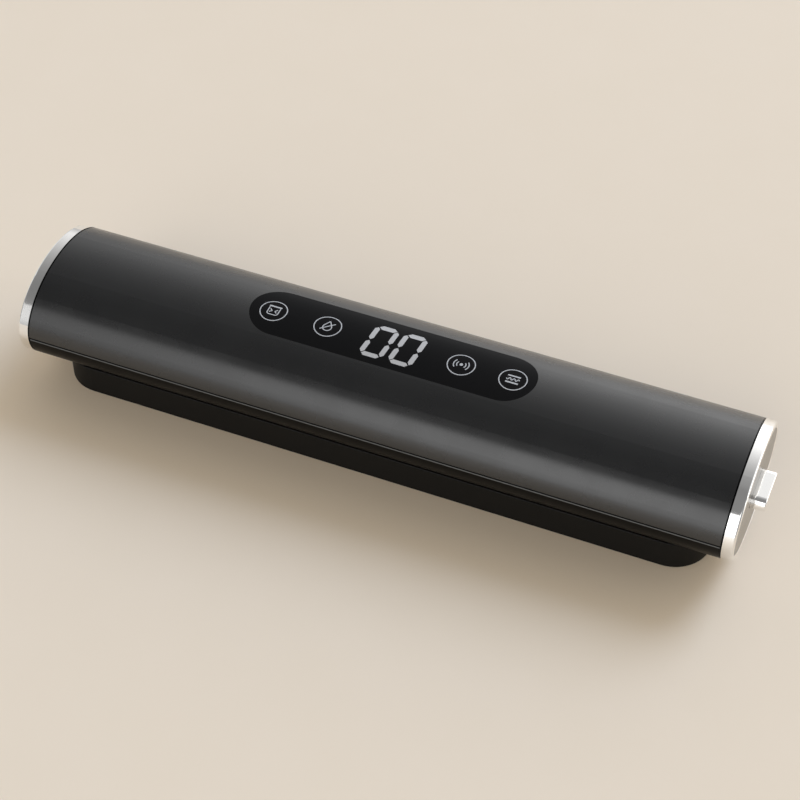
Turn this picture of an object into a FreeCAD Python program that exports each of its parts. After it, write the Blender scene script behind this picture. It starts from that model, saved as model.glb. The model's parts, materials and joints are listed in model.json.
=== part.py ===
import FreeCAD, Part
import math
import os

# Bar-type vacuum sealer, in millimetres.
# X runs along the bar, -Y is the front where a bag goes in, +Z is up and z = 0 is the table.
# Pieces are drawn with x = 0 at mid-bar, then all move so that the button at the right end is counted in.
# The lid is the long elliptical body. It is hinged along its rear edge to a narrower base.

Vector = FreeCAD.Vector
ALONG_X = Vector(1, 0, 0)
ALONG_Y = Vector(0, 1, 0)
ALONG_Z = Vector(0, 0, 1)
FAR = 1000.0
TOUCH = 1e-6
SAME_PLACE = 1e-4
OVERRUN = 1.0

# Lid body: two half-ellipse shells that meet at the widest line
body_length = 368.0
body_depth = 82.1
seam_height = 36.6
crown_rise = 26.5
belly_drop = 28.1
section_steps = 4
shell_wall = 2.4
seam_groove_height = 1.0
seam_groove_depth = 0.9
seam_bevel_drop = 0.65
seam_bevel_depth = 0.5
tongue_height = 2.0
tongue_root = 3.0
tongue_wall = 1.0
tongue_end_room = 6.0

# Clearances
slip_fit = 0.15
running_fit = 0.05
slide_gap = 0.3
pilot_fit = 0.05

# End rings and end discs
ring_width = 6.6
ring_gap = 0.8
ring_lip = 3.15
ring_edge_round = 1.2
ring_shoulder = 2.4
ring_collar_wall = 1.6
ring_collar_reach = 3.6
disc_thickness = 2.5
disc_recess = 0.3

# Touch panel let into the crown
panel_length = 152.5
panel_depth = 32.4
panel_y = 2.5
panel_seat = 1.6
panel_glue = 0.1
panel_key_x = (-63.6, -33.9, 37.6, 64.6)
panel_key_y = 1.0
key_hole_radius = 4.4
key_pad_radius = 3.5
display_x = 2.0
display_length = 34.0
display_depth = 22.0
display_room = 0.6

# Control board hung under the crown
control_length = 144.0
control_depth = 27.0
control_drop = 7.6
board_thickness = 1.6
control_post_radius = 2.5
control_post_inset = 4.0
board_screw_radius = 0.9
board_screw_grip = 4.0
board_screw_head_radius = 1.9
board_screw_head_height = 1.3

# Jaws: flat underside of the lid over the flat deck of the base
jaw_drop = 16.6
jaw_gap = 2.5
jaw_floor = 4.0

# Base
base_end_inset = 8.3
base_side_inset = 8.55
base_corner = 19.9
base_wall = 2.4
base_end_room = 1.3
base_edge_round = 0.6
deck_thickness = 3.0
plate_thickness = 2.0
foot_stand = 0.8
foot_radius = 6.0
foot_seat = 0.8
foot_end_inset = 29.7
foot_side_inset = 13.5
trough_end_inset = 30.7
trough_depth = 18.0
trough_drop = 9.0
trough_corner = 7.0
tray_wall = 1.5
tray_rim = 1.2
tray_rim_height = 1.0
boss_radius = 3.5
base_screw_end_inset = 53.7
base_screw_side_inset = 10.0
screw_radius = 1.3
screw_head_radius = 2.7
screw_head_height = 1.6
screw_grip = 8.0

# Foam gaskets and the sealing line
gasket_end_inset = 17.7
gasket_depth = 40.0
gasket_corner = 16.0
gasket_width = 7.0
gasket_seat = 2.0
gasket_gap = 0.4
sealing_end_inset = 25.7
sealing_front_inset = 5.3
heater_bar_depth = 6.4
heater_bar_height = 2.5
heater_strip_depth = 4.0
heater_strip_thickness = 0.3
cover_tape_depth = 9.0
cover_tape_thickness = 0.2
press_strip_depth = 6.4
press_strip_seat = 2.0
press_strip_stand = 1.0
press_strip_round = 0.9

# Rear hinge
hinge_end_inset = 63.7
hinge_drop = 2.0
barrel_radius = 3.5
barrel_wall_room = 0.5
knuckle_length = 10.0
lid_knuckle_length = 16.0
hinge_pin_radius = 1.5
lid_lug_depth = 4.4

# Latch and release button
catch_end_inset = 9.7
catch_length = 5.0
catch_depth = 2.6
catch_foot_length = 9.0
catch_foot_depth = 7.0
catch_foot_height = 1.5
catch_pad_drop = 6.0
barb_reach = 2.2
barb_height = 0.8
catch_slot_room = 0.6
catch_swing_room = 1.2
latch_y = -20.5
latch_depth = 6.0
latch_thickness = 1.2
latch_end_reach = 7.0
latch_tab_inset = 13.0
latch_tab_depth = 12.0
latch_arm_length = 8.0
tongue_overlap = 1.7
release_travel = 3.0
guide_end_inset = 56.0
guide_x = (-40.0, 46.0)
guide_length = 18.0
guide_wall = 1.2
guide_lip = 1.2
button_length = 24.0
button_height = 8.0
button_rise = 1.7
button_proud = 7.2
button_edge_round = 0.8
button_flange = 2.0
button_flange_thickness = 2.0
button_stem = 6.0
spring_room = 16.0
spring_wall_thickness = 2.0
spring_wall_depth = 14.0
spring_wire_radius = 0.4
spring_radius = 3.0
spring_turns = 4
spring_steps = 2
spring_peg_radius = 2.0
spring_peg_length = 3.0

# Vacuum pump
pump_y = 12.0
motor_radius = 13.5
motor_length = 36.0
motor_rise = 1.5
head_end_inset = 24.0
motor_edge_round = 2.0
head_length = 24.0
head_depth = 24.0
head_crown_room = 9.1
head_edge_round = 2.5
crank_room_radius = 9.0
crank_room_length = 12.0
shaft_radius = 1.5
shaft_reach = 18.0
eccentric_radius = 5.5
eccentric_offset = 1.4
eccentric_length = 8.0
crank_end_room = 1.0
cradle_length = 22.0
cradle_depth = 24.0
cradle_height = 9.0
nipple_radius = 2.4
nipple_bore = 1.4
nipple_length = 4.0
tube_radius = 3.5
tube_rise = 10.0
tube_y = -12.0
tube_bend = 7.0
port_run = 36.0

# Vent valve
valve_x = -80.0
valve_y = 0.0
valve_length = 24.0
valve_depth = 16.0
valve_height = 6.0
valve_coil_radius = 6.5
valve_coil_height = 16.0
valve_port_radius = 2.0
valve_pin_height = 2.0

# Power board, charging port and cells
power_x = -3.0
power_rear_room = 11.05
power_length = 110.0
power_depth = 42.0
power_rise = 5.0
power_post_radius = 2.5
power_post_inset = 4.0
coil_x = 15.0
coil_side = 14.0
coil_height = 9.0
capacitor_x = 32.0
capacitor_pitch = 12.0
capacitor_radius = 5.0
capacitor_height = 12.0
heat_sink_x = 87.0
heat_sink_y = -8.0
heat_sink_length = 18.0
heat_sink_depth = 4.0
heat_sink_height = 14.0
ribbon_depth = 0.8
ribbon_length = 16.0
ribbon_inset = 8.0
header_length = 20.0
header_depth = 5.0
header_height = 5.0
port_length = 9.0
port_height = 3.3
port_depth = 12.0
port_center_x = 20.0
port_wall = 0.35
port_recess = 0.5
port_room = 0.4
port_tongue_length = 6.6
port_tongue_height = 0.7
port_tongue_recess = 1.0
cell_radius = 9.2
cell_length = 65.0
cell_pitch = 19.2
cell_room = 0.1
holder_end_room = 5.0
holder_y = 4.2
holder_wall = 1.4
holder_floor = 1.6
holder_height = 12.0

# Screws that close the lid shells
shell_screw_end_inset = 44.0
shell_screw_x = (-70.0, 70.0)
shell_screw_y = 28.0
shell_boss_radius = 3.2
shell_boss_rise = 6.0
shell_screw_grip = 10.0

# Places worked out from the sizes above
half_body = body_length / 2
half_depth = body_depth / 2
crown_height = seam_height + crown_rise
ring_face = half_body + ring_width
disc_face = ring_face - disc_recess
disc_back = disc_face - disc_thickness
jaw_height = seam_height - jaw_drop
floor_top = jaw_height + jaw_floor
base_top = jaw_height - jaw_gap
base_length = body_length - 2 * base_end_inset
base_depth = body_depth - 2 * base_side_inset
half_base = base_length / 2
half_base_depth = base_depth / 2
jaw_half = half_base + base_end_room
plate_top = foot_stand + plate_thickness
foot_x = half_base - foot_end_inset
foot_y = half_base_depth - foot_side_inset
base_screw_x = half_base - base_screw_end_inset
base_screw_y = half_base_depth - base_screw_side_inset
trough_length = base_length - 2 * trough_end_inset
trough_floor = base_top - trough_drop
gasket_length = base_length - 2 * gasket_end_inset
gasket_stand = (jaw_gap - gasket_gap) / 2
sealing_length = base_length - 2 * sealing_end_inset
sealing_y = sealing_front_inset - half_base_depth
hinge_x = half_base - hinge_end_inset
hinge_y = half_base_depth + barrel_radius + barrel_wall_room
hinge_height = base_top - hinge_drop
latch_bottom = floor_top + slide_gap
latch_top = latch_bottom + latch_thickness
latch_tab_x = half_body - latch_tab_inset
catch_x = half_base - catch_end_inset
catch_top = latch_bottom - slide_gap
tongue_edge = catch_length / 2 + barb_reach - tongue_overlap
button_z = seam_height + button_rise
flange_face = disc_back - slide_gap
flange_back = flange_face - button_flange_thickness
spring_wall_x = latch_tab_x - spring_room
head_left_x = head_end_inset - half_body
motor_front_x = head_left_x + head_length
motor_rear_x = motor_front_x + motor_length
pump_axis_height = floor_top + motor_rise + motor_radius
nipple_x = head_left_x + head_length / 2
head_front_y = pump_y - head_depth / 2
head_top = crown_height - head_crown_room
tube_height = floor_top + tube_rise
port_x = nipple_x + port_run
control_top = crown_height - control_drop
control_bottom = control_top - board_thickness
power_bottom = floor_top + power_rise
power_top = power_bottom + board_thickness
power_left_x = power_x - power_length / 2
power_y = half_depth - power_rear_room - power_depth / 2
ribbon_y = power_y - power_depth / 2 + ribbon_inset
holder_length = cell_length + 2 * (holder_wall + cell_room)
holder_depth = cell_pitch + 2 * (cell_radius + cell_room + holder_wall)
holder_x = spring_wall_x - spring_wall_thickness - holder_end_room - holder_length / 2
shell_boss_height = floor_top + shell_boss_rise
middle_x = button_proud / 2


def block(x0, x1, y0, y1, z0, z1):
    """Box between two opposite corners."""
    return Part.makeBox(x1 - x0, y1 - y0, z1 - z0, Vector(x0, y0, z0))


def centred_block(x, y, length, depth, z0, z1):
    """Box centred on a point of the plan."""
    return block(x - length / 2, x + length / 2, y - depth / 2, y + depth / 2, z0, z1)


def rod_x(x0, x1, y, z, radius):
    """Round bar along X."""
    return Part.makeCylinder(radius, x1 - x0, Vector(x0, y, z), ALONG_X)


def rod_y(x, y0, y1, z, radius):
    """Round bar along Y."""
    return Part.makeCylinder(radius, y1 - y0, Vector(x, y0, z), ALONG_Y)


def rod_z(x, y, z0, z1, radius):
    """Round bar along Z."""
    return Part.makeCylinder(radius, z1 - z0, Vector(x, y, z0), ALONG_Z)


def join(shapes):
    """One solid from pieces that overlap or share faces."""
    return shapes[0].multiFuse(shapes[1:]).removeSplitter()


def group(shapes):
    """Separate solids kept together in one node."""
    return Part.makeCompound(shapes)


def round_outline(length, depth, radius):
    """Rectangle in XY about the origin whose corners are quarter circles."""
    reach_x = length / 2 - radius
    reach_y = depth / 2 - radius
    corners = ((1, 1), (-1, 1), (-1, -1), (1, -1))
    arcs = []
    for turn, (side_x, side_y) in enumerate(corners):
        circle = Part.Circle(Vector(side_x * reach_x, side_y * reach_y, 0), ALONG_Z, radius)
        arcs.append(Part.Arc(circle, turn * math.pi / 2, (turn + 1) * math.pi / 2).toShape())
    edges = []
    for turn, arc in enumerate(arcs):
        edges.append(arc)
        start = arc.lastVertex(True).Point
        end = arcs[(turn + 1) % 4].firstVertex(True).Point
        if start.distanceToPoint(end) > TOUCH:
            edges.append(Part.makeLine(start, end))
    return Part.Wire(edges)


def round_block(length, depth, radius, z0, z1, x=0.0, y=0.0):
    """Upright prism with round plan corners."""
    face = Part.Face(round_outline(length, depth, radius))
    face.translate(Vector(x, y, z0))
    return face.extrude(Vector(0, 0, z1 - z0))


def stand_up(shape):
    """Turn a plan so that its X lies along Y, its Y along Z and its Z along X."""
    shape.rotate(Vector(0, 0, 0), Vector(1, 1, 1), 120)
    return shape


def end_pill(length, height, x0, x1, z):
    """Round-ended bar across the end of the body, with its long way along Y."""
    face = stand_up(Part.Face(round_outline(length, height, height / 2)))
    face.translate(Vector(x0, 0, z))
    return face.extrude(Vector(x1 - x0, 0, 0))


def arc_from(start, tangent, end):
    """Circular arc that leaves start along the tangent and ends at end."""
    chord = end - start
    along = chord * (1 / chord.Length)
    aside = tangent - along * tangent.dot(along)
    turn = tangent.getAngle(chord)
    bulge = aside.normalize() * (chord.Length / 2 * math.tan(turn / 2))
    return Part.Arc(start, (start + end) * 0.5 + bulge, end).toShape()


def biarc_joint(start, start_tangent, end, end_tangent):
    """Point and tangent where the two arcs between two points with given tangents meet."""
    chord = end - start
    spread = 2 * (1 - start_tangent.dot(end_tangent))
    lean = chord.dot(start_tangent + end_tangent)
    reach = (math.sqrt(lean * lean + spread * chord.dot(chord)) - lean) / spread
    point = (start + end + (start_tangent - end_tangent) * reach) * 0.5
    tangent = (end - end_tangent * reach) - (start + start_tangent * reach)
    return point, tangent.normalize()


def arc_chain(path):
    """Arcs through the points of a path, each leaving its start along the tangent there."""
    return [arc_from(start, tangent, end) for (start, tangent), (end, _) in zip(path, path[1:])]


def round_bar(edges, radius):
    """Solid round bar along lines and arcs that run on smoothly: straight and turned lengths in a row."""
    lengths = []
    for edge in edges:
        start = edge.firstVertex(True).Point
        way = edge.tangentAt(edge.FirstParameter)
        disc = Part.Face(Part.Wire(Part.makeCircle(radius, start, way)))
        if isinstance(edge.Curve, Part.Circle):
            turn = math.degrees(edge.Length / edge.Curve.Radius)
            lengths.append(disc.revolve(edge.Curve.Center, edge.Curve.Axis, turn))
        else:
            lengths.append(disc.extrude(edge.lastVertex(True).Point - start))
    return join(lengths)


def smooth_path(knots):
    """Points and tangents of a chain of arcs through knots, each a point and a unit tangent."""
    path = [knots[0]]
    for (start, start_tangent), (end, end_tangent) in zip(knots, knots[1:]):
        path.append(biarc_joint(start, start_tangent, end, end_tangent))
        path.append((end, end_tangent))
    return path


def body_knots():
    """Points and tangents round the body section: a flatter half ellipse over a deeper one."""
    knots = []
    for step in range(2 * section_steps + 1):
        angle = step * math.pi / section_steps
        rise = crown_rise if step <= section_steps else belly_drop
        point = Vector(half_depth * math.cos(angle), rise * math.sin(angle), 0)
        tangent = Vector(-half_depth * math.sin(angle), rise * math.cos(angle), 0)
        knots.append((point, tangent.normalize()))
    return knots


def body_bar(inset, x0, x1):
    """Full section of the lid body, drawn in everywhere by inset."""
    path = [(point + ALONG_Z.cross(tangent) * inset, tangent) for point, tangent in smooth_path(body_knots())]
    face = stand_up(Part.Face(Part.Wire(arc_chain(path))))
    face.translate(Vector(x0, 0, seam_height))
    return face.extrude(Vector(x1 - x0, 0, 0))


def body_skin(outer_inset, inner_inset, x0, x1):
    """Tube that follows the body section between two insets."""
    return body_bar(outer_inset, x0, x1).cut(body_bar(inner_inset, x0, x1))


def layer(z0, z1):
    """Slab of the whole space between two heights."""
    return block(-FAR, FAR, -FAR, FAR, z0, z1)


def round_edges(shape, radius, chosen):
    """Fillet the edges that the test picks."""
    edges = [edge for edge in shape.Edges if chosen(edge)]
    return shape.makeFillet(radius, edges)


def lies_at(edge, axis, value):
    """True where an edge lies wholly at one value of an axis."""
    low = getattr(edge.BoundBox, axis + "Min")
    high = getattr(edge.BoundBox, axis + "Max")
    return abs(low - value) < SAME_PLACE and abs(high - value) < SAME_PLACE


def loop_block(length, depth, corner, width, z0, z1):
    """Closed band with round corners, such as a gasket."""
    outside = round_block(length, depth, corner, z0, z1)
    inside = round_block(length - 2 * width, depth - 2 * width, corner - width, z0, z1)
    return outside.cut(inside)


def hinge_barrels():
    """Barrel ends along X of the middle knuckle and of the two that flank it."""
    middle = lid_knuckle_length / 2
    near = middle + slide_gap
    far = near + knuckle_length
    return (-middle, middle), (-far, -near), (near, far)


def base_knuckles():
    """Outer hinge knuckles with the webs that tie them to the rear wall of the base."""
    shapes = []
    for side in (-hinge_x, hinge_x):
        for start, end in hinge_barrels()[1:]:
            shapes.append(rod_x(side + start, side + end, hinge_y, hinge_height, barrel_radius))
            shapes.append(block(side + start, side + end, half_base_depth - base_wall / 2, hinge_y,
                                hinge_height - barrel_radius, hinge_height))
    return shapes


def base_shell():
    """Lower jaw: rounded shell open below, with the opening of the drip tray, seats and hinge knuckles."""
    block_out = round_block(base_length, base_depth, base_corner, foot_stand, base_top)
    block_out = round_edges(block_out, base_edge_round, lambda edge: lies_at(edge, "Z", base_top))
    room = round_block(base_length - 2 * base_wall, base_depth - 2 * base_wall, base_corner - base_wall,
                       foot_stand, base_top - deck_thickness)
    pieces = [block_out.cut(room)]
    root = base_top - deck_thickness / 2
    for x, y in base_screw_points():
        pieces.append(rod_z(x, y, plate_top, root, boss_radius))
    for side in (-1, 1):
        pad = centred_block(side * catch_x, latch_y, catch_foot_length + 2 * base_wall,
                            catch_foot_depth + 2 * base_wall, base_top - catch_pad_drop, root)
        pieces.append(pad.common(block_out))
    pieces.extend(base_knuckles())
    cuts = [trough_block(tray_wall + slip_fit, base_top - deck_thickness, base_top)]
    cuts.append(trough_block(tray_wall + tray_rim + slip_fit, base_top - tray_rim_height, base_top))
    cuts.append(loop_block(gasket_length, gasket_depth, gasket_corner, gasket_width,
                           base_top - gasket_seat, base_top))
    cuts.append(centred_block(0, sealing_y, sealing_length, press_strip_depth,
                              base_top - press_strip_seat, base_top))
    for x, y in base_screw_points():
        cuts.append(rod_z(x, y, plate_top, plate_top + screw_grip, screw_radius + pilot_fit))
    for side in (-1, 1):
        cuts.append(centred_block(side * catch_x, latch_y, catch_foot_length + 2 * slip_fit,
                                  catch_foot_depth + 2 * slip_fit, base_top - catch_foot_height, base_top))
        cuts.append(rod_x(side * hinge_x - FAR, side * hinge_x + FAR, hinge_y, hinge_height,
                          hinge_pin_radius + running_fit))
    return join(pieces).cut(cuts)


def trough_block(grow, z0, z1):
    """Upright prism over the vacuum trough, grown all round."""
    return round_block(trough_length + 2 * grow, trough_depth + 2 * grow, trough_corner + grow, z0, z1)


def drip_tray():
    """Lift-out tray that forms the vacuum trough and hangs in the deck by its rim."""
    tub = trough_block(tray_wall, trough_floor - tray_wall, base_top)
    rim = trough_block(tray_wall + tray_rim, base_top - tray_rim_height, base_top)
    return join([tub, rim]).cut(trough_block(0, trough_floor, base_top))


def base_screw_points():
    """Plan places of the screws that hold the base plate."""
    return [(x, side * base_screw_y) for x in (-base_screw_x, 0, base_screw_x) for side in (-1, 1)]


def foot_points():
    """Plan places of the four feet."""
    return [(side * foot_x, end * foot_y) for side in (-1, 1) for end in (-1, 1)]


def base_plate():
    """Bottom cover let into the base, with seats for the feet and screw heads."""
    inset = base_wall + slip_fit
    plate = round_block(base_length - 2 * inset, base_depth - 2 * inset, base_corner - inset,
                        foot_stand, plate_top)
    cuts = [rod_z(x, y, foot_stand, foot_stand + foot_seat, foot_radius + slip_fit) for x, y in foot_points()]
    for x, y in base_screw_points():
        cuts.append(rod_z(x, y, foot_stand, plate_top, screw_radius + slip_fit))
        cuts.append(rod_z(x, y, foot_stand, foot_stand + screw_head_height, screw_head_radius + slip_fit))
    return plate.cut(cuts)


def rubber_feet():
    """Four round feet that stand on the table."""
    return group([rod_z(x, y, 0, foot_stand + foot_seat, foot_radius) for x, y in foot_points()])


def screw(x, y, head_z, grip):
    """Screw that points up, with a flat cheese head."""
    shank_end = head_z + screw_head_height + grip
    head = rod_z(x, y, head_z, head_z + screw_head_height, screw_head_radius)
    shank = rod_z(x, y, head_z, shank_end, screw_radius)
    return join([head, shank])


def base_screws():
    """Screws through the base plate into the bosses of the base."""
    grip = plate_thickness - screw_head_height + screw_grip - slide_gap
    return group([screw(x, y, foot_stand, grip) for x, y in base_screw_points()])


def lower_gasket():
    """Foam band in the deck of the base."""
    return loop_block(gasket_length - 2 * slip_fit, gasket_depth - 2 * slip_fit, gasket_corner - slip_fit,
                      gasket_width - 2 * slip_fit, base_top - gasket_seat, base_top + gasket_stand)


def press_strip():
    """Silicone strip that the heater presses on, with a crowned top."""
    strip = centred_block(0, sealing_y, sealing_length - 2 * slip_fit, press_strip_depth - 2 * slip_fit,
                          base_top - press_strip_seat, base_top + press_strip_stand)
    top = base_top + press_strip_stand
    return round_edges(strip, press_strip_round,
                       lambda edge: lies_at(edge, "Z", top) and edge.BoundBox.YLength < SAME_PLACE)


def catch(side):
    """Hook that stands on the deck: a foot, a post and a barb that points to -X."""
    foot = centred_block(side, latch_y, catch_foot_length, catch_foot_depth,
                         base_top - catch_foot_height, base_top)
    post = centred_block(side, latch_y, catch_length, catch_depth, base_top - catch_foot_height, catch_top)
    back = side - catch_length / 2
    ramp = Part.makePolygon([Vector(back, latch_y - catch_depth / 2, catch_top - barb_height - barb_reach),
                             Vector(back - barb_reach, latch_y - catch_depth / 2, catch_top - barb_height),
                             Vector(back - barb_reach, latch_y - catch_depth / 2, catch_top - barb_height / 2),
                             Vector(back, latch_y - catch_depth / 2, catch_top),
                             Vector(back, latch_y - catch_depth / 2, catch_top - barb_height - barb_reach)])
    barb = Part.Face(ramp).extrude(Vector(0, catch_depth, 0))
    hook_room = block(back - barb_reach, back, latch_y - catch_depth, latch_y + catch_depth,
                      base_top, catch_top - barb_height)
    return join([foot, post, barb.cut(hook_room)])


def latch_catches():
    """The two hooks of the latch."""
    return group([catch(-catch_x), catch(catch_x)])


def hinge_pins():
    """Two steel pins through the knuckles."""
    reach = lid_knuckle_length / 2 + slide_gap + knuckle_length
    return group([rod_x(side - reach, side + reach, hinge_y, hinge_height, hinge_pin_radius)
                  for side in (-hinge_x, hinge_x)])


def panel_plan(shrink, z0, z1):
    """Upright round-ended prism over the touch panel."""
    return round_block(panel_length - 2 * shrink, panel_depth - 2 * shrink, panel_depth / 2 - shrink,
                       z0, z1, 0, panel_y)


def control_post_points():
    """Plan places of the posts that carry the control board."""
    reach_x = control_length / 2 - control_post_inset
    reach_y = control_depth / 2 - control_post_inset
    return [(side * reach_x, panel_y + end * reach_y) for side in (-1, 1) for end in (-1, 1)]


def shell_screw_points():
    """Plan places of the screws that close the lid shells."""
    end_x = half_body - shell_screw_end_inset
    return [(x, shell_screw_y) for x in (-end_x, *shell_screw_x, end_x)]


def upper_shell():
    """Top half of the lid body, with the seat of the touch panel and the inner bosses."""
    shell = body_skin(0, shell_wall, -half_body, half_body).common(layer(seam_height, FAR))
    inner_limit = body_bar(shell_wall / 2, -half_body, half_body)
    posts = [rod_z(x, y, control_top, FAR, control_post_radius) for x, y in control_post_points()]
    posts.extend(rod_z(x, y, shell_boss_height, FAR, shell_boss_radius) for x, y in shell_screw_points())
    shell = join([shell] + [post.common(inner_limit) for post in posts])
    cuts = [body_skin(-OVERRUN, seam_groove_depth, -half_body, half_body).common(
        layer(seam_height, seam_height + seam_groove_height))]
    cuts.append(body_skin(-OVERRUN, panel_seat, -half_body, half_body).common(panel_plan(0, seam_height, FAR)))
    cuts.append(centred_block(display_x, panel_y, display_length + 2 * display_room,
                              display_depth + 2 * display_room, control_top, FAR))
    cuts.extend(rod_z(x, panel_key_y, control_top, FAR, key_hole_radius) for x in panel_key_x)
    cuts.extend(rod_z(x, y, control_top, control_top + board_screw_grip, board_screw_radius + pilot_fit)
                for x, y in control_post_points())
    cuts.extend(rod_z(x, y, shell_boss_height, shell_boss_height + shell_screw_grip, screw_radius + pilot_fit)
                for x, y in shell_screw_points())
    return shell.cut(cuts)


def shell_tongue():
    """Lip that stands up from the lower shell inside the upper one and lines up the seam."""
    end = half_body - tongue_end_room
    inner = shell_wall + slip_fit + tongue_wall
    root = body_skin(shell_wall / 2, inner, -end, end).common(layer(seam_height - tongue_root, seam_height))
    lip = body_skin(shell_wall + slip_fit, inner, -end, end)
    lip = lip.common(layer(seam_height, seam_height + tongue_height))
    return [root, lip]


def latch_guides():
    """Pairs of hooked ribs on the jaw floor that keep the latch bar down and straight."""
    shapes = []
    near = latch_depth / 2 + slide_gap
    lip_z = latch_top + slide_gap
    for x in (guide_end_inset - half_body, *guide_x):
        for side in (-1, 1):
            wall = sorted((latch_y + side * near, latch_y + side * (near + guide_wall)))
            lip = sorted((latch_y + side * (near - guide_lip), latch_y + side * (near + guide_wall)))
            span = (x - guide_length / 2, x + guide_length / 2)
            shapes.append(block(span[0], span[1], wall[0], wall[1], floor_top - guide_wall, lip_z + guide_wall))
            shapes.append(block(span[0], span[1], lip[0], lip[1], lip_z, lip_z + guide_wall))
    return shapes


def power_post_points():
    """Plan places of the posts under the power board."""
    reach_x = power_length / 2 - power_post_inset
    reach_y = power_depth / 2 - power_post_inset
    return [(power_x + side * reach_x, power_y + end * reach_y) for side in (-1, 1) for end in (-1, 1)]


def spring_wall():
    """Upright wall with a peg that the button spring pushes against."""
    wall = block(spring_wall_x - spring_wall_thickness, spring_wall_x, -spring_wall_depth / 2,
                 spring_wall_depth / 2, floor_top - shell_wall / 2, button_z + spring_wall_depth / 2)
    peg = rod_x(spring_wall_x - spring_wall_thickness, spring_wall_x + spring_peg_length, 0, button_z,
                spring_peg_radius)
    return [wall, peg]


def lid_lugs(cavity):
    """Hinge knuckles of the lid, each hung from the rear wall of the lower shell by a lug."""
    shapes = []
    start, end = hinge_barrels()[0]
    for side in (-hinge_x, hinge_x):
        shapes.append(rod_x(side + start, side + end, hinge_y, hinge_height, barrel_radius))
        lug = block(side + start, side + end, hinge_y - lid_lug_depth / 2, hinge_y + lid_lug_depth / 2,
                    hinge_height, seam_height)
        shapes.append(lug.cut(cavity))
    return shapes


def seam_bevels():
    """Wedges that bevel the two long edges of the lower shell along the seam."""
    shapes = []
    for side in (-1, 1):
        corners = [Vector(-half_body, side * half_depth, seam_height - seam_bevel_drop),
                   Vector(-half_body, side * (half_depth - seam_bevel_depth), seam_height),
                   Vector(-half_body, side * half_depth, seam_height)]
        face = Part.Face(Part.makePolygon(corners + corners[:1]))
        shapes.append(face.extrude(Vector(body_length, 0, 0)))
    return shapes


def lower_shell():
    """Bottom half of the lid body: full ellipse at the ends, flat upper jaw between them."""
    below = layer(-FAR, seam_height)
    outside = body_bar(0, -half_body, half_body).common(below)
    outside = outside.cut(seam_bevels())
    jaw_room = block(-jaw_half, jaw_half, -FAR, FAR, -FAR, jaw_height)
    floor_keep = block(-jaw_half - shell_wall, jaw_half + shell_wall, -FAR, FAR, -FAR, floor_top)
    cavity = body_bar(shell_wall, -half_body, half_body).common(below).cut(floor_keep)
    pieces = [outside.cut(jaw_room).cut(cavity)]
    pieces.extend(shell_tongue())
    pieces.extend(latch_guides())
    pieces.extend(spring_wall())
    pieces.extend(lid_lugs(cavity))
    root = floor_top - shell_wall / 2
    pieces.extend(rod_z(x, y, root, power_bottom, power_post_radius) for x, y in power_post_points())
    pieces.extend(rod_z(x, y, root, shell_boss_height, shell_boss_radius) for x, y in shell_screw_points())
    pieces.append(rod_z(port_x, tube_y, root, floor_top + nipple_length, nipple_radius))
    return join(pieces).cut(lower_shell_cuts())


def lower_shell_cuts():
    """Grooves, slots, ports and screw holes of the lower shell."""
    cuts = [loop_block(gasket_length, gasket_depth, gasket_corner, gasket_width,
                       jaw_height, jaw_height + gasket_seat)]
    cuts.append(centred_block(0, sealing_y, sealing_length, heater_bar_depth,
                              jaw_height, jaw_height + heater_bar_height))
    cuts.append(rod_z(port_x, tube_y, jaw_height, FAR, nipple_bore))
    cuts.append(rod_z(valve_x, valve_y, jaw_height, FAR, valve_port_radius))
    for side in (-catch_x, catch_x):
        cuts.append(block(side - catch_length / 2 - barb_reach - catch_slot_room,
                          side + catch_length / 2 + catch_slot_room,
                          latch_y - catch_depth / 2 - catch_swing_room,
                          latch_y + catch_depth / 2 + catch_slot_room, jaw_height, floor_top))
    for x, y in shell_screw_points():
        cuts.append(rod_z(x, y, jaw_height, FAR, screw_radius + slip_fit))
        cuts.append(rod_z(x, y, jaw_height, jaw_height + screw_head_height, screw_head_radius + slip_fit))
    for side in (-hinge_x, hinge_x):
        reach = lid_knuckle_length
        cuts.append(rod_x(side - reach, side + reach, hinge_y, hinge_height, hinge_pin_radius + running_fit))
    cuts.append(port_outline(port_room, half_depth - 2 * shell_wall - port_recess, FAR))
    return cuts


def port_outline(room, y0, y1):
    """Round-ended prism through the rear wall at the charging port."""
    length = port_length + 2 * room
    height = port_height + 2 * room
    face = Part.Face(round_outline(length, height, height / 2))
    face.rotate(Vector(0, 0, 0), ALONG_X, 90)
    face.translate(Vector(port_center_x, y0, power_top + port_height / 2))
    return face.extrude(Vector(0, y1 - y0, 0))


def shell_screws():
    """Screws through the upper jaw into the bosses of the upper shell."""
    grip = shell_boss_height - jaw_height - screw_head_height + shell_screw_grip - slide_gap
    return group([screw(x, y, jaw_height, grip) for x, y in shell_screw_points()])


def right_end_ring():
    """Plated ring at the right end: outer band, shoulder for the disc and collar in the shells."""
    band = body_skin(0, ring_lip, half_body + ring_gap, ring_face)
    band = round_edges(band, ring_edge_round, lambda edge: lies_at(edge, "X", ring_face))
    shoulder_end = disc_back - slip_fit
    shoulder = body_skin(ring_lip / 2, ring_lip + ring_shoulder, half_body + ring_gap, shoulder_end)
    collar_outside = shell_wall + slip_fit
    collar = body_skin(collar_outside, collar_outside + ring_collar_wall, half_body - ring_collar_reach,
                       shoulder_end)
    return join([band, shoulder, collar])


def plain_end_disc():
    """Satin disc that fills the ring."""
    return body_bar(ring_lip + slip_fit, disc_back, disc_face)


def right_end_disc():
    """End disc with the slot of the release button."""
    slot = end_pill(button_length + 2 * slide_gap, button_height + 2 * slide_gap,
                    disc_back, disc_face, button_z)
    return plain_end_disc().cut(slot)


def at_left_end(shape):
    """The same piece turned to the left end."""
    turned = shape.copy()
    turned.rotate(Vector(0, 0, 0), ALONG_Z, 180)
    return turned


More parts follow.
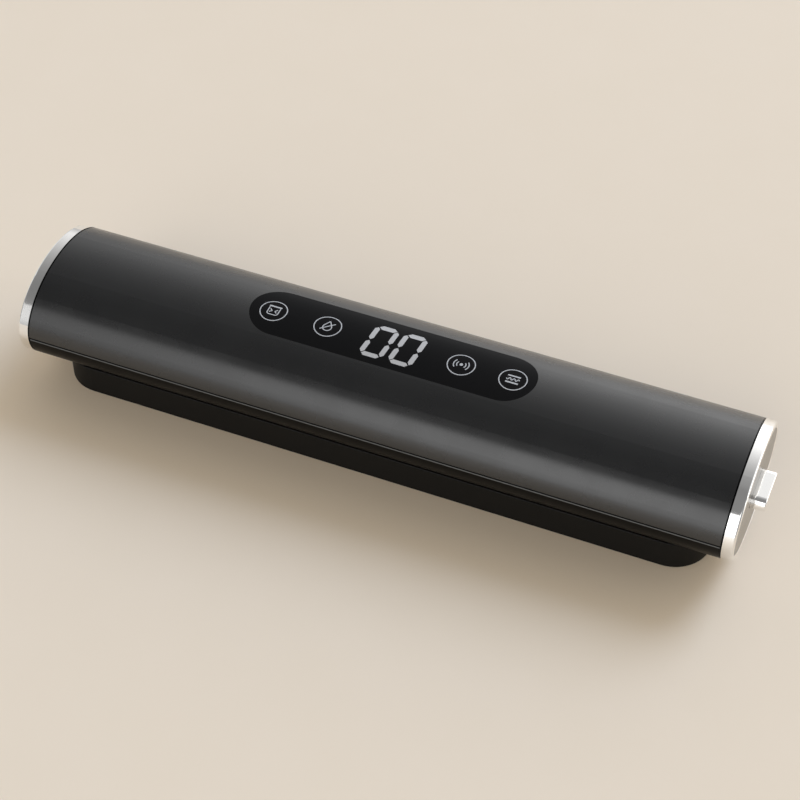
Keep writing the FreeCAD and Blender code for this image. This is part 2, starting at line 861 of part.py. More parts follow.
def touch_panel():
    """Glossy panel that follows the crown."""
    skin = body_skin(0, panel_seat - panel_glue, -half_body, half_body)
    return skin.common(panel_plan(slip_fit, seam_height, FAR))


def control_board():
    """Board with the display and the touch pads."""
    plate = centred_block(0, panel_y, control_length, control_depth, control_bottom, control_top)
    holes = [rod_z(x, y, control_bottom, control_top, board_screw_radius + slip_fit)
             for x, y in control_post_points()]
    return plate.cut(holes)


def board_screws():
    """Screws that hold the control board to its posts."""
    screws = []
    shank_end = control_top + board_screw_grip - slide_gap
    for x, y in control_post_points():
        head = rod_z(x, y, control_bottom - board_screw_head_height, control_bottom, board_screw_head_radius)
        shank = rod_z(x, y, control_bottom, shank_end, board_screw_radius)
        screws.append(join([head, shank]))
    return group(screws)


def panel_underside(y):
    """Height of the back of the touch panel at a place across the crown."""
    across = half_depth - panel_seat
    return seam_height + (crown_rise - panel_seat) * math.sqrt(1 - (y / across) ** 2)


def display_module():
    """Two-digit display block under the panel."""
    edge = abs(panel_y) + display_depth / 2
    top = panel_underside(edge) - slide_gap
    return centred_block(display_x, panel_y, display_length, display_depth, control_top, top)


def touch_pads():
    """Four conductive foam pads between the board and the panel."""
    top = panel_underside(abs(panel_key_y) + key_pad_radius) - slide_gap
    return group([rod_z(x, panel_key_y, control_top, top, key_pad_radius) for x in panel_key_x])


def power_board():
    """Board on the jaw floor with a coil, two capacitors and the heat sink of the heater switch."""
    parts = [centred_block(power_x, power_y, power_length, power_depth, power_bottom, power_top)]
    parts.append(centred_block(power_left_x + coil_x, power_y, coil_side, coil_side,
                               power_top, power_top + coil_height))
    for side in (-1, 1):
        parts.append(rod_z(power_left_x + capacitor_x, power_y + side * capacitor_pitch / 2,
                           power_top, power_top + capacitor_height, capacitor_radius))
    parts.append(centred_block(power_left_x + heat_sink_x, power_y + heat_sink_y, heat_sink_length,
                               heat_sink_depth, power_top, power_top + heat_sink_height))
    return join(parts)


def ribbon_cable():
    """Flat cable with a plug at each end, between the two boards."""
    lower = centred_block(0, ribbon_y, header_length, header_depth, power_top, power_top + header_height)
    upper = centred_block(0, ribbon_y, header_length, header_depth,
                          control_bottom - header_height, control_bottom)
    ribbon = centred_block(0, ribbon_y, ribbon_length, ribbon_depth, power_top + header_height / 2,
                           control_bottom - header_height / 2)
    return join([lower, upper, ribbon])


def charge_port():
    """Round-ended charging socket on the rear edge of the power board."""
    mouth = half_depth - port_recess
    can = port_outline(0, mouth - port_depth, mouth)
    hollow = port_outline(-port_wall, mouth - port_depth + port_wall, mouth)
    tongue_bottom = power_top + (port_height - port_tongue_height) / 2
    tongue = block(port_center_x - port_tongue_length / 2, port_center_x + port_tongue_length / 2,
                   mouth - port_depth, mouth - port_tongue_recess,
                   tongue_bottom, tongue_bottom + port_tongue_height)
    return join([can.cut(hollow), tongue])


def battery_cells():
    """Two round cells side by side."""
    height = floor_top + holder_floor + cell_room + cell_radius
    cells = []
    for side in (-1, 1):
        y = holder_y + side * cell_pitch / 2
        cells.append(rod_x(holder_x - cell_length / 2, holder_x + cell_length / 2, y, height, cell_radius))
    return group(cells)


def battery_holder():
    """Open tray that the cells lie in."""
    tray = centred_block(holder_x, holder_y, holder_length, holder_depth, floor_top, floor_top + holder_height)
    room = centred_block(holder_x, holder_y, holder_length - 2 * holder_wall, holder_depth - 2 * holder_wall,
                         floor_top + holder_floor, floor_top + holder_height)
    return tray.cut(room)


def pump_motor():
    """Round motor whose shaft hole faces the pump head."""
    can = rod_x(motor_front_x, motor_rear_x, pump_y, pump_axis_height, motor_radius)
    can = round_edges(can, motor_edge_round, lambda edge: lies_at(edge, "X", motor_rear_x))
    bore = rod_x(motor_front_x, motor_front_x + shaft_reach + slide_gap, pump_y, pump_axis_height,
                 shaft_radius + running_fit)
    return can.cut(bore)


def pump_head():
    """Pump block with the crank room and the suction nipple."""
    body = block(head_left_x, motor_front_x, head_front_y, head_front_y + head_depth, floor_top, head_top)
    body = round_edges(body, head_edge_round, lambda edge: lies_at(edge, "Z", head_top))
    nipple = rod_y(nipple_x, head_front_y - nipple_length, head_front_y, tube_height, nipple_radius)
    bore = rod_y(nipple_x, head_front_y - nipple_length, head_front_y + nipple_length, tube_height, nipple_bore)
    room = rod_x(motor_front_x - crank_room_length, motor_front_x, pump_y, pump_axis_height, crank_room_radius)
    return join([body, nipple]).cut([bore, room])


def pump_shaft():
    """Motor shaft with the eccentric that drives the diaphragm."""
    shaft = rod_x(motor_front_x - crank_end_room - eccentric_length, motor_front_x + shaft_reach, pump_y,
                  pump_axis_height, shaft_radius)
    eccentric = rod_x(motor_front_x - crank_end_room - eccentric_length, motor_front_x - crank_end_room,
                      pump_y, pump_axis_height + eccentric_offset, eccentric_radius)
    return join([shaft, eccentric])


def pump_cradle():
    """Rubber saddle that carries the motor on the jaw floor."""
    x = (motor_front_x + motor_rear_x) / 2
    saddle = centred_block(x, pump_y, cradle_length, cradle_depth, floor_top, floor_top + cradle_height)
    return saddle.cut(rod_x(x - cradle_length, x + cradle_length, pump_y, pump_axis_height,
                            motor_radius + slip_fit))


def corner_arc(before, corner, after, radius):
    """Tangent arc that rounds a square corner of a path."""
    back = (before - corner).normalize() * radius
    ahead = (after - corner).normalize() * radius
    centre = corner + back + ahead
    middle = centre + (corner - centre).normalize() * radius
    return Part.Arc(corner + back, middle, corner + ahead).toShape()


def suction_tube():
    """Silicone tube from the pump head round to the port in the jaw floor."""
    start = Vector(nipple_x, head_front_y - slip_fit, tube_height)
    first = Vector(nipple_x, tube_y, tube_height)
    second = Vector(port_x, tube_y, tube_height)
    end = Vector(port_x, tube_y, floor_top + slip_fit)
    first_arc = corner_arc(start, first, second, tube_bend)
    second_arc = corner_arc(first, second, end, tube_bend)
    path = [Part.makeLine(start, first_arc.firstVertex(True).Point), first_arc,
            Part.makeLine(first_arc.lastVertex(True).Point, second_arc.firstVertex(True).Point),
            second_arc, Part.makeLine(second_arc.lastVertex(True).Point, end)]
    return round_bar(path, tube_radius).cut(round_bar(path, nipple_radius + slip_fit))


def vent_valve():
    """Valve that lets air back in: a flat body over its port and an upright coil."""
    body = centred_block(valve_x, valve_y, valve_length, valve_depth, floor_top, floor_top + valve_height)
    coil = rod_z(valve_x, valve_y, floor_top, floor_top + valve_height + valve_coil_height, valve_coil_radius)
    pin_top = floor_top + valve_height + valve_coil_height + valve_pin_height
    pin = rod_z(valve_x, valve_y, floor_top, pin_top, valve_port_radius)
    return join([body, coil, pin])


def heater_bar():
    """Heat-proof bar that carries the heating strip."""
    return centred_block(0, sealing_y, sealing_length - 2 * slip_fit, heater_bar_depth - 2 * slip_fit,
                         jaw_height, jaw_height + heater_bar_height)


def heater_strip():
    """Flat resistance strip under the bar."""
    return centred_block(0, sealing_y, sealing_length - 2 * slip_fit, heater_strip_depth,
                         jaw_height - heater_strip_thickness, jaw_height)


def cover_tape():
    """Non-stick tape stretched over the heating strip."""
    top = jaw_height - heater_strip_thickness
    return centred_block(0, sealing_y, sealing_length, cover_tape_depth, top - cover_tape_thickness, top)


def upper_gasket():
    """Foam band in the upper jaw."""
    return loop_block(gasket_length - 2 * slip_fit, gasket_depth - 2 * slip_fit, gasket_corner - slip_fit,
                      gasket_width - 2 * slip_fit, jaw_height - gasket_stand, jaw_height + gasket_seat)


def release_button():
    """Plated push button with the flange that keeps it behind the disc and a stem to the latch."""
    outer_face = ring_face + button_proud
    cap = end_pill(button_length, button_height, flange_back, outer_face, button_z)
    cap = round_edges(cap, button_edge_round, lambda edge: lies_at(edge, "X", outer_face))
    flange = end_pill(button_length + 2 * button_flange, button_height + 2 * button_flange,
                      flange_back, flange_face, button_z)
    stem = block(latch_tab_x, flange_back, -button_stem / 2, button_stem / 2,
                 button_z - button_stem / 2, button_z + button_stem / 2)
    return join([cap, flange, stem])


def latch_bar():
    """Sliding steel bar with a window over each catch and an upright tab behind the button."""
    left_end = -catch_x - latch_end_reach
    bar = block(left_end, latch_tab_x, latch_y - latch_depth / 2, latch_y + latch_depth / 2,
                latch_bottom, latch_top)
    arm = block(latch_tab_x - latch_arm_length, latch_tab_x, latch_y, latch_tab_depth / 2,
                latch_bottom, latch_top)
    tab = block(latch_tab_x - latch_thickness, latch_tab_x, -latch_tab_depth / 2, latch_tab_depth / 2,
                latch_bottom, button_z + latch_tab_depth / 2)
    windows = []
    for side in (-catch_x, catch_x):
        windows.append(block(side - tongue_edge, side + catch_length / 2 + release_travel + catch_slot_room,
                             latch_y - catch_depth / 2 - catch_slot_room,
                             latch_y + catch_depth / 2 + catch_slot_room, latch_bottom, latch_top))
    return join([bar, arm, tab]).cut(windows)


def button_spring():
    """Return spring between the wall on the jaw floor and the tab of the latch bar."""
    left = spring_wall_x + spring_wire_radius + slide_gap
    right = latch_tab_x - latch_thickness - spring_wire_radius - slide_gap
    climb = (right - left) / (2 * math.pi * spring_turns)
    knots = []
    for step in range(spring_turns * spring_steps + 1):
        angle = step * 2 * math.pi / spring_steps
        point = Vector(left + climb * angle, spring_radius * math.cos(angle),
                       button_z + spring_radius * math.sin(angle))
        tangent = Vector(climb, -spring_radius * math.sin(angle), spring_radius * math.cos(angle))
        knots.append((point, tangent.normalize()))
    return round_bar(arc_chain(smooth_path(knots)), spring_wire_radius)


NODES = {
    "base_shell": base_shell,
    "drip_tray": drip_tray,
    "base_plate": base_plate,
    "rubber_feet": rubber_feet,
    "base_screws": base_screws,
    "lower_gasket": lower_gasket,
    "press_strip": press_strip,
    "latch_catches": latch_catches,
    "hinge_pins": hinge_pins,
    "upper_shell": upper_shell,
    "lower_shell": lower_shell,
    "shell_screws": shell_screws,
    "right_end_ring": right_end_ring,
    "left_end_ring": lambda: at_left_end(right_end_ring()),
    "right_end_disc": right_end_disc,
    "left_end_disc": lambda: at_left_end(plain_end_disc()),
    "touch_panel": touch_panel,
    "control_board": control_board,
    "board_screws": board_screws,
    "display_module": display_module,
    "touch_pads": touch_pads,
    "power_board": power_board,
    "ribbon_cable": ribbon_cable,
    "charge_port": charge_port,
    "battery_cells": battery_cells,
    "battery_holder": battery_holder,
    "pump_motor": pump_motor,
    "pump_head": pump_head,
    "pump_shaft": pump_shaft,
    "pump_cradle": pump_cradle,
    "suction_tube": suction_tube,
    "vent_valve": vent_valve,
    "heater_bar": heater_bar,
    "heater_strip": heater_strip,
    "cover_tape": cover_tape,
    "upper_gasket": upper_gasket,
    "release_button": release_button,
    "latch_bar": latch_bar,
    "button_spring": button_spring,
}

os.makedirs("parts", exist_ok=True)
for name, make in NODES.items():
    shape = make()
    shape.translate(Vector(-middle_x, 0, 0))
    shape.exportStep(os.path.join("parts", name + ".step"))
    print(name, len(shape.Solids), "solids", round(shape.Volume / 1000, 2), "cm3", shape.isValid())
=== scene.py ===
"""Looks of a bar-type vacuum sealer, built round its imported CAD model."""

import json
import logging
import math
from dataclasses import dataclass, replace
from enum import Enum

import bmesh
import bpy
import numpy as np
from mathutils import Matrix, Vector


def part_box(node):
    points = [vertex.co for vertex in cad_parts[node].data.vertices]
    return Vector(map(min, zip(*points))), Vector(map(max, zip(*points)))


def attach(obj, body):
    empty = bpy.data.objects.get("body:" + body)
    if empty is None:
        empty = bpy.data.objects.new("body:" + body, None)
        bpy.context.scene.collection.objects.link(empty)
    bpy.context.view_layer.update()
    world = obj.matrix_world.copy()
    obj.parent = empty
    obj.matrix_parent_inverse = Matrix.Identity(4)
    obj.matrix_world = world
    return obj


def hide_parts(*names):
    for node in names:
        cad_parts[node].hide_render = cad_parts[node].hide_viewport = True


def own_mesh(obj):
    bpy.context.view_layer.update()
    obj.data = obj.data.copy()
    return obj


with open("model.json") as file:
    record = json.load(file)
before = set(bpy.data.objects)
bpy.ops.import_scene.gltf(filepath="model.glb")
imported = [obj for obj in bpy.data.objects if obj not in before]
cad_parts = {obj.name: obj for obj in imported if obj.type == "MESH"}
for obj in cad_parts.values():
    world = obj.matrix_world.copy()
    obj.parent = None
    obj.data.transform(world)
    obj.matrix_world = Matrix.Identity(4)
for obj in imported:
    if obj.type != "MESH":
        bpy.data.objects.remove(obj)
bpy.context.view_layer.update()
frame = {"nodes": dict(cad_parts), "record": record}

MM = 0.001
KEY_X = (-63.6, -33.9, 37.6, 64.6)  # the four keys along the bar, in millimetres from its middle
POLE_RADIUS = 0.1  # a turned profile stops this far from its axis, in millimetres
WELD_DISTANCE = 1e-8  # points closer than this, in metres, are one point
SHARP_DEGREES = 40
WAVE_RADIANS = 20  # what one unit of a wave texture of scale 1 spans
NOISE_SPAN = (0.3, 0.7)  # where nearly all values of a noise texture lie
LOG = logging.getLogger("vacuum_sealer")


def linear(hex_colour: str) -> tuple[float, float, float, float]:
    """Turn an sRGB hex colour into linear RGBA.

    The sRGB curve is c / 12.92 up to 0.04045 and ((c + 0.055) / 1.055)^2.4 above.

    Args:
        hex_colour: six hex digits after a hash sign.

    Returns:
        Red, green, blue and an alpha of one.
    """
    coded = np.array([int(hex_colour[place:place + 2], 16) for place in (1, 3, 5)]) / 255
    straight = np.where(coded <= 0.04045, coded / 12.92, ((coded + 0.055) / 1.055) ** 2.4)
    return (*straight.tolist(), 1.0)


def add_node(tree: bpy.types.NodeTree, kind: str, sockets: dict | None = None, **settings) -> bpy.types.Node:
    """Add one shader node, set it up and link it.

    Args:
        tree: node tree that takes the node.
        kind: Blender's type name of the node.
        sockets: value or source socket for each input, by name or number.
        settings: properties of the node itself.

    Returns:
        The new node.
    """
    node = tree.nodes.new(kind)
    for name, value in settings.items():
        setattr(node, name, value)
    for name, value in (sockets or {}).items():
        if isinstance(value, bpy.types.NodeSocket):
            tree.links.new(value, node.inputs[name])
        else:
            node.inputs[name].default_value = value
    return node


class Pattern(Enum):
    """How the fine pattern of a surface is laid out."""

    GRAIN = "grain of a moulded, blasted or brushed skin"
    CELLS = "round cells side by side"
    WEAVE = "threads that cross"
    STRIPES = "lines side by side"


@dataclass(frozen=True)
class Finish:
    """One surface finish: a fine pattern gives colour and relief, broad smudges vary the gloss."""

    name: str
    colour: str
    shade: str
    roughness: float
    spread: float = 0.03
    pattern: Pattern = Pattern.GRAIN
    size_mm: float = 0.5
    stretch: tuple[float, float, float] = (1.0, 1.0, 1.0)
    relief_mm: float = 0.01
    smudge_mm: float = 18.0
    metallic: float = 0.0
    ior: float = 1.5
    specular: float = 0.5
    coat: float = 0.0
    glow: float = 0.0
    # A band along one axis in edge_colour: a part's own colour on some finishes, painted highlight or painted
    # shade on others.
    edge_axis: str = "Z"
    edge_middle_mm: float = 0.0
    edge_mm: tuple[float, float] = (0.0, 0.0)
    edge_soft_mm: float = 0.08
    edge_colour: str = ""

    def steps(self, tree: bpy.types.NodeTree, size_mm: float, stretch: tuple) -> bpy.types.NodeSocket:
        """Socket of the object's coordinates, counted in steps of a size in millimetres."""
        place = add_node(tree, "ShaderNodeTexCoord")
        scale = tuple(share / (size_mm * MM) for share in stretch)
        moved = add_node(tree, "ShaderNodeMapping", {"Vector": place.outputs["Object"], "Scale": scale})
        return moved.outputs["Vector"]

    def fine(self, tree: bpy.types.NodeTree) -> bpy.types.NodeSocket:
        """Socket of the fine pattern, from 0 to 1."""
        steps = self.steps(tree, self.size_mm, self.stretch)
        if self.pattern is Pattern.CELLS:
            cells = add_node(tree, "ShaderNodeTexVoronoi", {"Vector": steps, "Scale": 1.0}, feature="F1")
            return cells.outputs["Distance"]
        if self.pattern is Pattern.GRAIN:
            grain = add_node(tree, "ShaderNodeTexNoise", {"Vector": steps, "Scale": 1.0, "Detail": 2.0})
            return grain.outputs["Fac"]
        wave = {"Vector": steps, "Scale": 2 * math.pi / WAVE_RADIANS}
        along = add_node(tree, "ShaderNodeTexWave", wave, bands_direction="X")
        if self.pattern is Pattern.STRIPES:
            return along.outputs["Fac"]
        across = add_node(tree, "ShaderNodeTexWave", wave, bands_direction="Y")
        cross = add_node(tree, "ShaderNodeMath", {0: along.outputs["Fac"], 1: across.outputs["Fac"]},
                         operation="MULTIPLY")
        return cross.outputs["Value"]

    def edged(self, tree: bpy.types.NodeTree, colour: bpy.types.NodeSocket) -> bpy.types.NodeSocket:
        """Socket of the colour with a band between two distances from a middle along one axis."""
        place = add_node(tree, "ShaderNodeTexCoord")
        axes = add_node(tree, "ShaderNodeSeparateXYZ", {"Vector": place.outputs["Object"]})
        away = add_node(tree, "ShaderNodeMath", {
            0: axes.outputs[self.edge_axis], 1: self.edge_middle_mm * MM}, operation="SUBTRACT")
        away = add_node(tree, "ShaderNodeMath", {0: away.outputs["Value"]}, operation="ABSOLUTE")
        low, high = self.edge_mm
        soft = self.edge_soft_mm
        above, below = [add_node(tree, "ShaderNodeMapRange", {
            "Value": away.outputs["Value"], "From Min": start * MM, "From Max": end * MM,
            "To Min": 0.0, "To Max": 1.0})
            for start, end in ((low - soft, low), (high + soft, high))]
        band = add_node(tree, "ShaderNodeMath", {0: above.outputs["Result"], 1: below.outputs["Result"]},
                        operation="MULTIPLY")
        mixed = add_node(tree, "ShaderNodeMix", {
            0: band.outputs["Value"], 6: colour, 7: linear(self.edge_colour)}, data_type="RGBA")
        return mixed.outputs[2]

    def sockets(self, tree: bpy.types.NodeTree) -> dict:
        """Values and sources of the main shader's inputs."""
        fine = self.fine(tree)
        blend = add_node(tree, "ShaderNodeMix", {0: fine, 6: linear(self.colour), 7: linear(self.shade)},
                         data_type="RGBA")
        colour = blend.outputs[2]
        if self.edge_colour:
            colour = self.edged(tree, colour)
        smudge = add_node(tree, "ShaderNodeTexNoise", {
            "Vector": self.steps(tree, self.smudge_mm, (1.0, 1.0, 1.0)), "Scale": 1.0, "Detail": 3.0})
        gloss = add_node(tree, "ShaderNodeMapRange", {
            "Value": smudge.outputs["Fac"], "From Min": NOISE_SPAN[0], "From Max": NOISE_SPAN[1],
            "To Min": self.roughness - self.spread, "To Max": self.roughness + self.spread})
        bump = add_node(tree, "ShaderNodeBump", {"Height": fine, "Distance": self.relief_mm * MM})
        made = {"Base Color": colour, "Roughness": gloss.outputs["Result"],
                "Normal": bump.outputs["Normal"], "Metallic": self.metallic, "Coat Weight": self.coat}
        if not self.metallic:
            made["IOR"] = self.ior
            made["Specular IOR Level"] = self.specular
        if self.glow:
            made["Emission Color"] = linear(self.colour)
            made["Emission Strength"] = self.glow
        return made

    def material(self) -> bpy.types.Material:
        """The material of this finish, built the first time it is asked for."""
        made = bpy.data.materials.get(self.name)
        if made:
            return made
        made = bpy.data.materials.new(self.name)
        made.use_nodes = True
        tree = made.node_tree
        tree.nodes.clear()
        shader = add_node(tree, "ShaderNodeBsdfPrincipled", self.sockets(tree))
        add_node(tree, "ShaderNodeOutputMaterial", {"Surface": shader.outputs["BSDF"]})
        return made


# Moulded ABS with a spark-eroded satin: near black, soft broad highlights. The real grain of about 0.1 mm is
# drawn at 0.4 mm so that it shows.
SATIN_ABS = Finish("satin_moulded_abs", "#0b0b0b", "#0e0e0e", 0.275, size_mm=0.4, relief_mm=0.006,
                   specular=0.8)
# The same ABS from the lower mould, made darker, browner and weaker in reflection all over: painted shade for
# the flank that faces the floor. A pale band over its bevel at the seam is a painted highlight.
SHADED_LOWER_ABS = Finish("lower_abs_with_painted_shade_and_highlight", "#0a0908", "#0c0b0a", 0.38, size_mm=0.4, relief_mm=0.006,
                   specular=0.09, edge_mm=(35.97, 36.24), edge_colour="#6c6c6a")
# Coarser eroded ABS: matte black, hardly any highlight.
MATTE_ABS = Finish("matte_moulded_abs", "#0c0b0a", "#0f0e0c", 0.55, size_mm=0.6, relief_mm=0.015,
                   specular=0.2)
# Smoked acrylic with a hard coat against glare: deep black that mirrors only faintly.
SMOKED_ACRYLIC = Finish("smoked_acrylic", "#151413", "#171615", 0.1, 0.02, size_mm=2.0, relief_mm=0.0,
                        ior=1.49, specular=0.03)
# Bright chrome on moulded ABS: a mirror, very slightly wavy from the moulding under it. The collar that goes
# into the shells is painted black: painted shade in the gap between ring and shells.
CHROME = Finish("chrome_plated_abs", "#fbfaf8", "#f5f4f2", 0.09, 0.02, size_mm=6.0, relief_mm=0.004,
                metallic=1.0, edge_axis="X", edge_middle_mm=-3.6, edge_mm=(175.0, 184.7), edge_soft_mm=0.05,
                edge_colour="#050505")
# Glass-bead blasted aluminium: pale, dull metal with a fine sparkle, the bead marks drawn at 0.35 mm.
BLASTED_ALUMINIUM = Finish("blasted_aluminium", "#aeaba6", "#a09d98", 0.36, size_mm=0.35, relief_mm=0.012,
                           metallic=1.0)
# Moulded nitrile rubber: dull dark grey, slightly dusty.
RUBBER = Finish("moulded_rubber", "#232322", "#2b2b29", 0.75, size_mm=0.8, relief_mm=0.02)
# Zinc-plated steel: cool grey, faint rainbow dullness left as light and dark patches.
ZINC_STEEL = Finish("zinc_plated_steel", "#bfc2c4", "#a9acae", 0.3, 0.06, size_mm=0.9, metallic=1.0,
                    relief_mm=0.006)
# Pressed stainless strip, brushed along the bar.
BRUSHED_STEEL = Finish("brushed_stainless_steel", "#b9b7b3", "#a5a39f", 0.28, size_mm=0.3,
                       stretch=(0.03, 1.0, 1.0), metallic=1.0)
# Cold-drawn spring wire: grey, with fine drawing lines round the wire.
SPRING_WIRE = Finish("drawn_spring_steel", "#a8a6a1", "#93918c", 0.27, size_mm=0.25, stretch=(1.0, 0.4, 0.4),
                     metallic=1.0, relief_mm=0.004)
# Nickel-plated can of the motor.
NICKEL_STEEL = Finish("nickel_plated_steel", "#c6c1b6", "#bab5aa", 0.22, size_mm=1.2, metallic=1.0,
                      relief_mm=0.004)
# Closed-cell sponge: soft black with pores, the cells drawn at 0.7 mm.
SPONGE = Finish("closed_cell_sponge", "#191919", "#353433", 0.85, pattern=Pattern.CELLS, size_mm=0.7,
                relief_mm=0.12, specular=0.3)
# Open-cell polyurethane foam of the touch pads, grey and coarse.
PAD_FOAM = Finish("polyurethane_foam", "#4c4b49", "#6a6966", 0.9, pattern=Pattern.CELLS, size_mm=0.9,
                  relief_mm=0.2, specular=0.3)
# Moulded silicone: soft sheen, warm grey, takes dust.
SILICONE = Finish("moulded_silicone", "#6b6560", "#746e68", 0.55, size_mm=0.8, relief_mm=0.01, ior=1.41)
# Glass-epoxy board under green solder mask: glass threads show as a fine weave.
BOARD = Finish("masked_glass_epoxy_board", "#0f4a2c", "#14603a", 0.35, pattern=Pattern.WEAVE, size_mm=0.8,
               relief_mm=0.008, coat=0.3)
# The same board with its parts: black sleeves and epoxy from just over the board's top face upwards.
POWER_BOARD = replace(BOARD, name="masked_board_with_black_parts", edge_mm=(30.8, 60.0),
                      edge_colour="#1b1c1e")
# Black PBT case of the number display.
DISPLAY_CASE = Finish("moulded_pbt", "#1a1a1b", "#222223", 0.5, size_mm=0.5)
# Flat ribbon cable: parallel wires under grey PVC, 1.27 mm apart.
RIBBON = Finish("ribbed_grey_pvc", "#8d8d8b", "#77777a", 0.45, pattern=Pattern.STRIPES, size_mm=1.27,
                relief_mm=0.15)
# Shrink-wrapped PVC on the cells: glossy blue film.
CELL_WRAP = Finish("shrunk_pvc_film", "#1f4d7a", "#235483", 0.25, size_mm=3.0, relief_mm=0.02)
# Unpainted inner mouldings: plain grey polyamide.
INNER_NYLON = Finish("moulded_polyamide", "#3a3b3c", "#424344", 0.5, size_mm=0.6)
# Extruded aluminium bar under the heater, drawn lines along it.
BAR_ALUMINIUM = Finish("extruded_aluminium", "#b2b3b4", "#9fa0a1", 0.34, size_mm=0.35,
                       stretch=(0.02, 1.0, 1.0), metallic=1.0)
# Glass cloth coated with PTFE: waxy tan tape with a plain weave, threads drawn at 0.6 mm.
COATED_CLOTH = Finish("ptfe_coated_glass_cloth", "#8a6a48", "#a5845f", 0.5, pattern=Pattern.WEAVE,
                      size_mm=0.6, relief_mm=0.05, ior=1.38)
# Light guide of the lit figures: milky acrylic, evenly bright.
LIT_ACRYLIC = Finish("lit_milky_acrylic", "#a29e98", "#aaa6a0", 0.4, size_mm=1.5, relief_mm=0.0, glow=0.1)
# Screen-printed light grey ink on the panel.
PRINT_INK = Finish("screen_printed_ink", "#aca9a4", "#b6b3ae", 0.5, size_mm=0.3, relief_mm=0.003)
# Smooth painted table: warm beige with a slight gloss.
PAINTED_FLOOR = Finish("satin_painted_floor", "#e8d5bb", "#e6d3b8", 0.3, 0.02, size_mm=40.0, relief_mm=0.0,
                       smudge_mm=300.0, specular=0.2)

SLOT_FINISH = {
    "shell_plastic": SATIN_ABS, "lower_shell_plastic": SHADED_LOWER_ABS, "base_plastic": MATTE_ABS,
    "panel_gloss": SMOKED_ACRYLIC, "ring_chrome": CHROME, "disc_aluminium": BLASTED_ALUMINIUM,
    "foot_rubber": RUBBER, "screw_steel": ZINC_STEEL, "latch_steel": BRUSHED_STEEL,
    "motor_steel": NICKEL_STEEL, "gasket_foam": SPONGE, "silicone": SILICONE, "circuit_board": BOARD,
    "display_case": DISPLAY_CASE, "pad_foam": PAD_FOAM, "cable_plastic": RIBBON, "cell_wrap": CELL_WRAP,
    "inner_plastic": INNER_NYLON, "heater_bar_metal": BAR_ALUMINIUM, "cover_tape_fabric": COATED_CLOTH,
}
NODE_FINISH = {"power_board": POWER_BOARD}


@dataclass
class Shape:
    """Points in millimetres and faces of a mesh that is being made."""

    points: np.ndarray
    faces: list[list[int]]


def carried(stations: np.ndarray, ring: bool = False) -> Shape:
    """Close a profile that was carried along a path.

    Face (i, j) joins points j and j + 1 of stations i and i + 1; both indices run round where the loop is
    closed.

    Args:
        stations: points by station along the path, place in the closed profile, and axis.
        ring: True where the path returns to its start, False where both ends get a cap.

    Returns:
        The closed surface.
    """
    rows, columns = stations.shape[:2]
    row = np.arange(rows if ring else rows - 1)[:, None]
    column = np.arange(columns)[None, :]
    after = (column + 1) % columns
    below = (row + 1) % rows
    quads = np.stack(np.broadcast_arrays(row * columns + column, row * columns + after,
                                         below * columns + after, below * columns + column), axis=-1)
    faces = quads.reshape(-1, 4).tolist()
    if not ring:
        faces += [list(range(columns)), list(range((rows - 1) * columns, rows * columns))]
    return Shape(stations.reshape(-1, 3), faces)


def united(shapes: list[Shape]) -> Shape:
    """Put several shapes into one, without joining their faces."""
    starts = np.cumsum([0] + [len(shape.points) for shape in shapes[:-1]])
    faces = [[int(start) + corner for corner in face]
             for start, shape in zip(starts, shapes) for face in shape.faces]
    return Shape(np.concatenate([shape.points for shape in shapes]), faces)


def turned(profile: np.ndarray, centre: tuple[float, float], sides: int = 64) -> Shape:
    """Turn a profile of radius and height about an upright axis.

    Point (i, j) is (x + r_i cos a_j, y + r_i sin a_j, h_i).

    Args:
        profile: rows of radius and height, from one pole to the other.
        centre: plan place of the axis.
        sides: steps round the axis.

    Returns:
        The closed turned body.
    """
    angle = np.linspace(0, 2 * np.pi, sides, endpoint=False)
    reach = profile[:, :1]
    height = np.repeat(profile[:, 1:], sides, axis=1)
    x, y = centre[0] + reach * np.cos(angle), centre[1] + reach * np.sin(angle)
    return carried(np.stack([x, y, height], axis=-1))


def make_piece(name: str, shape: Shape, finish: Finish, body: str,
               stands_for: tuple[str, ...] = ()) -> bpy.types.Object:
    """Turn a shape into a piece that rides on a body.

    Args:
        name: name of the piece.
        shape: its closed surface, in millimetres.
        finish: its surface finish.
        body: body that it moves with.
        stands_for: CAD nodes that it replaces.

    Returns:
        The new object.
    """
    mesh = bpy.data.meshes.new(name)
    mesh.from_pydata(shape.points * MM, [], shape.faces)
    skin = bmesh.new()
    skin.from_mesh(mesh)
    bmesh.ops.remove_doubles(skin, verts=skin.verts, dist=WELD_DISTANCE)
    bmesh.ops.recalc_face_normals(skin, faces=skin.faces)
    skin.to_mesh(mesh)
    skin.free()
    mesh.shade_smooth()
    mesh.set_sharp_from_angle(angle=math.radians(SHARP_DEGREES))
    mesh.materials.append(finish.material())
    piece = bpy.data.objects.new(name, mesh)
    bpy.context.scene.collection.objects.link(piece)
    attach(piece, body)
    if stands_for:
        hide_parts(*stands_for)
    LOG.info("%s: %d faces on %s", name, len(mesh.polygons), body)
    return piece


def node_box(node: str) -> tuple[np.ndarray, np.ndarray]:
    """Lowest and highest corner of a CAD node, in millimetres."""
    low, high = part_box(node)
    return np.array(low) / MM, np.array(high) / MM


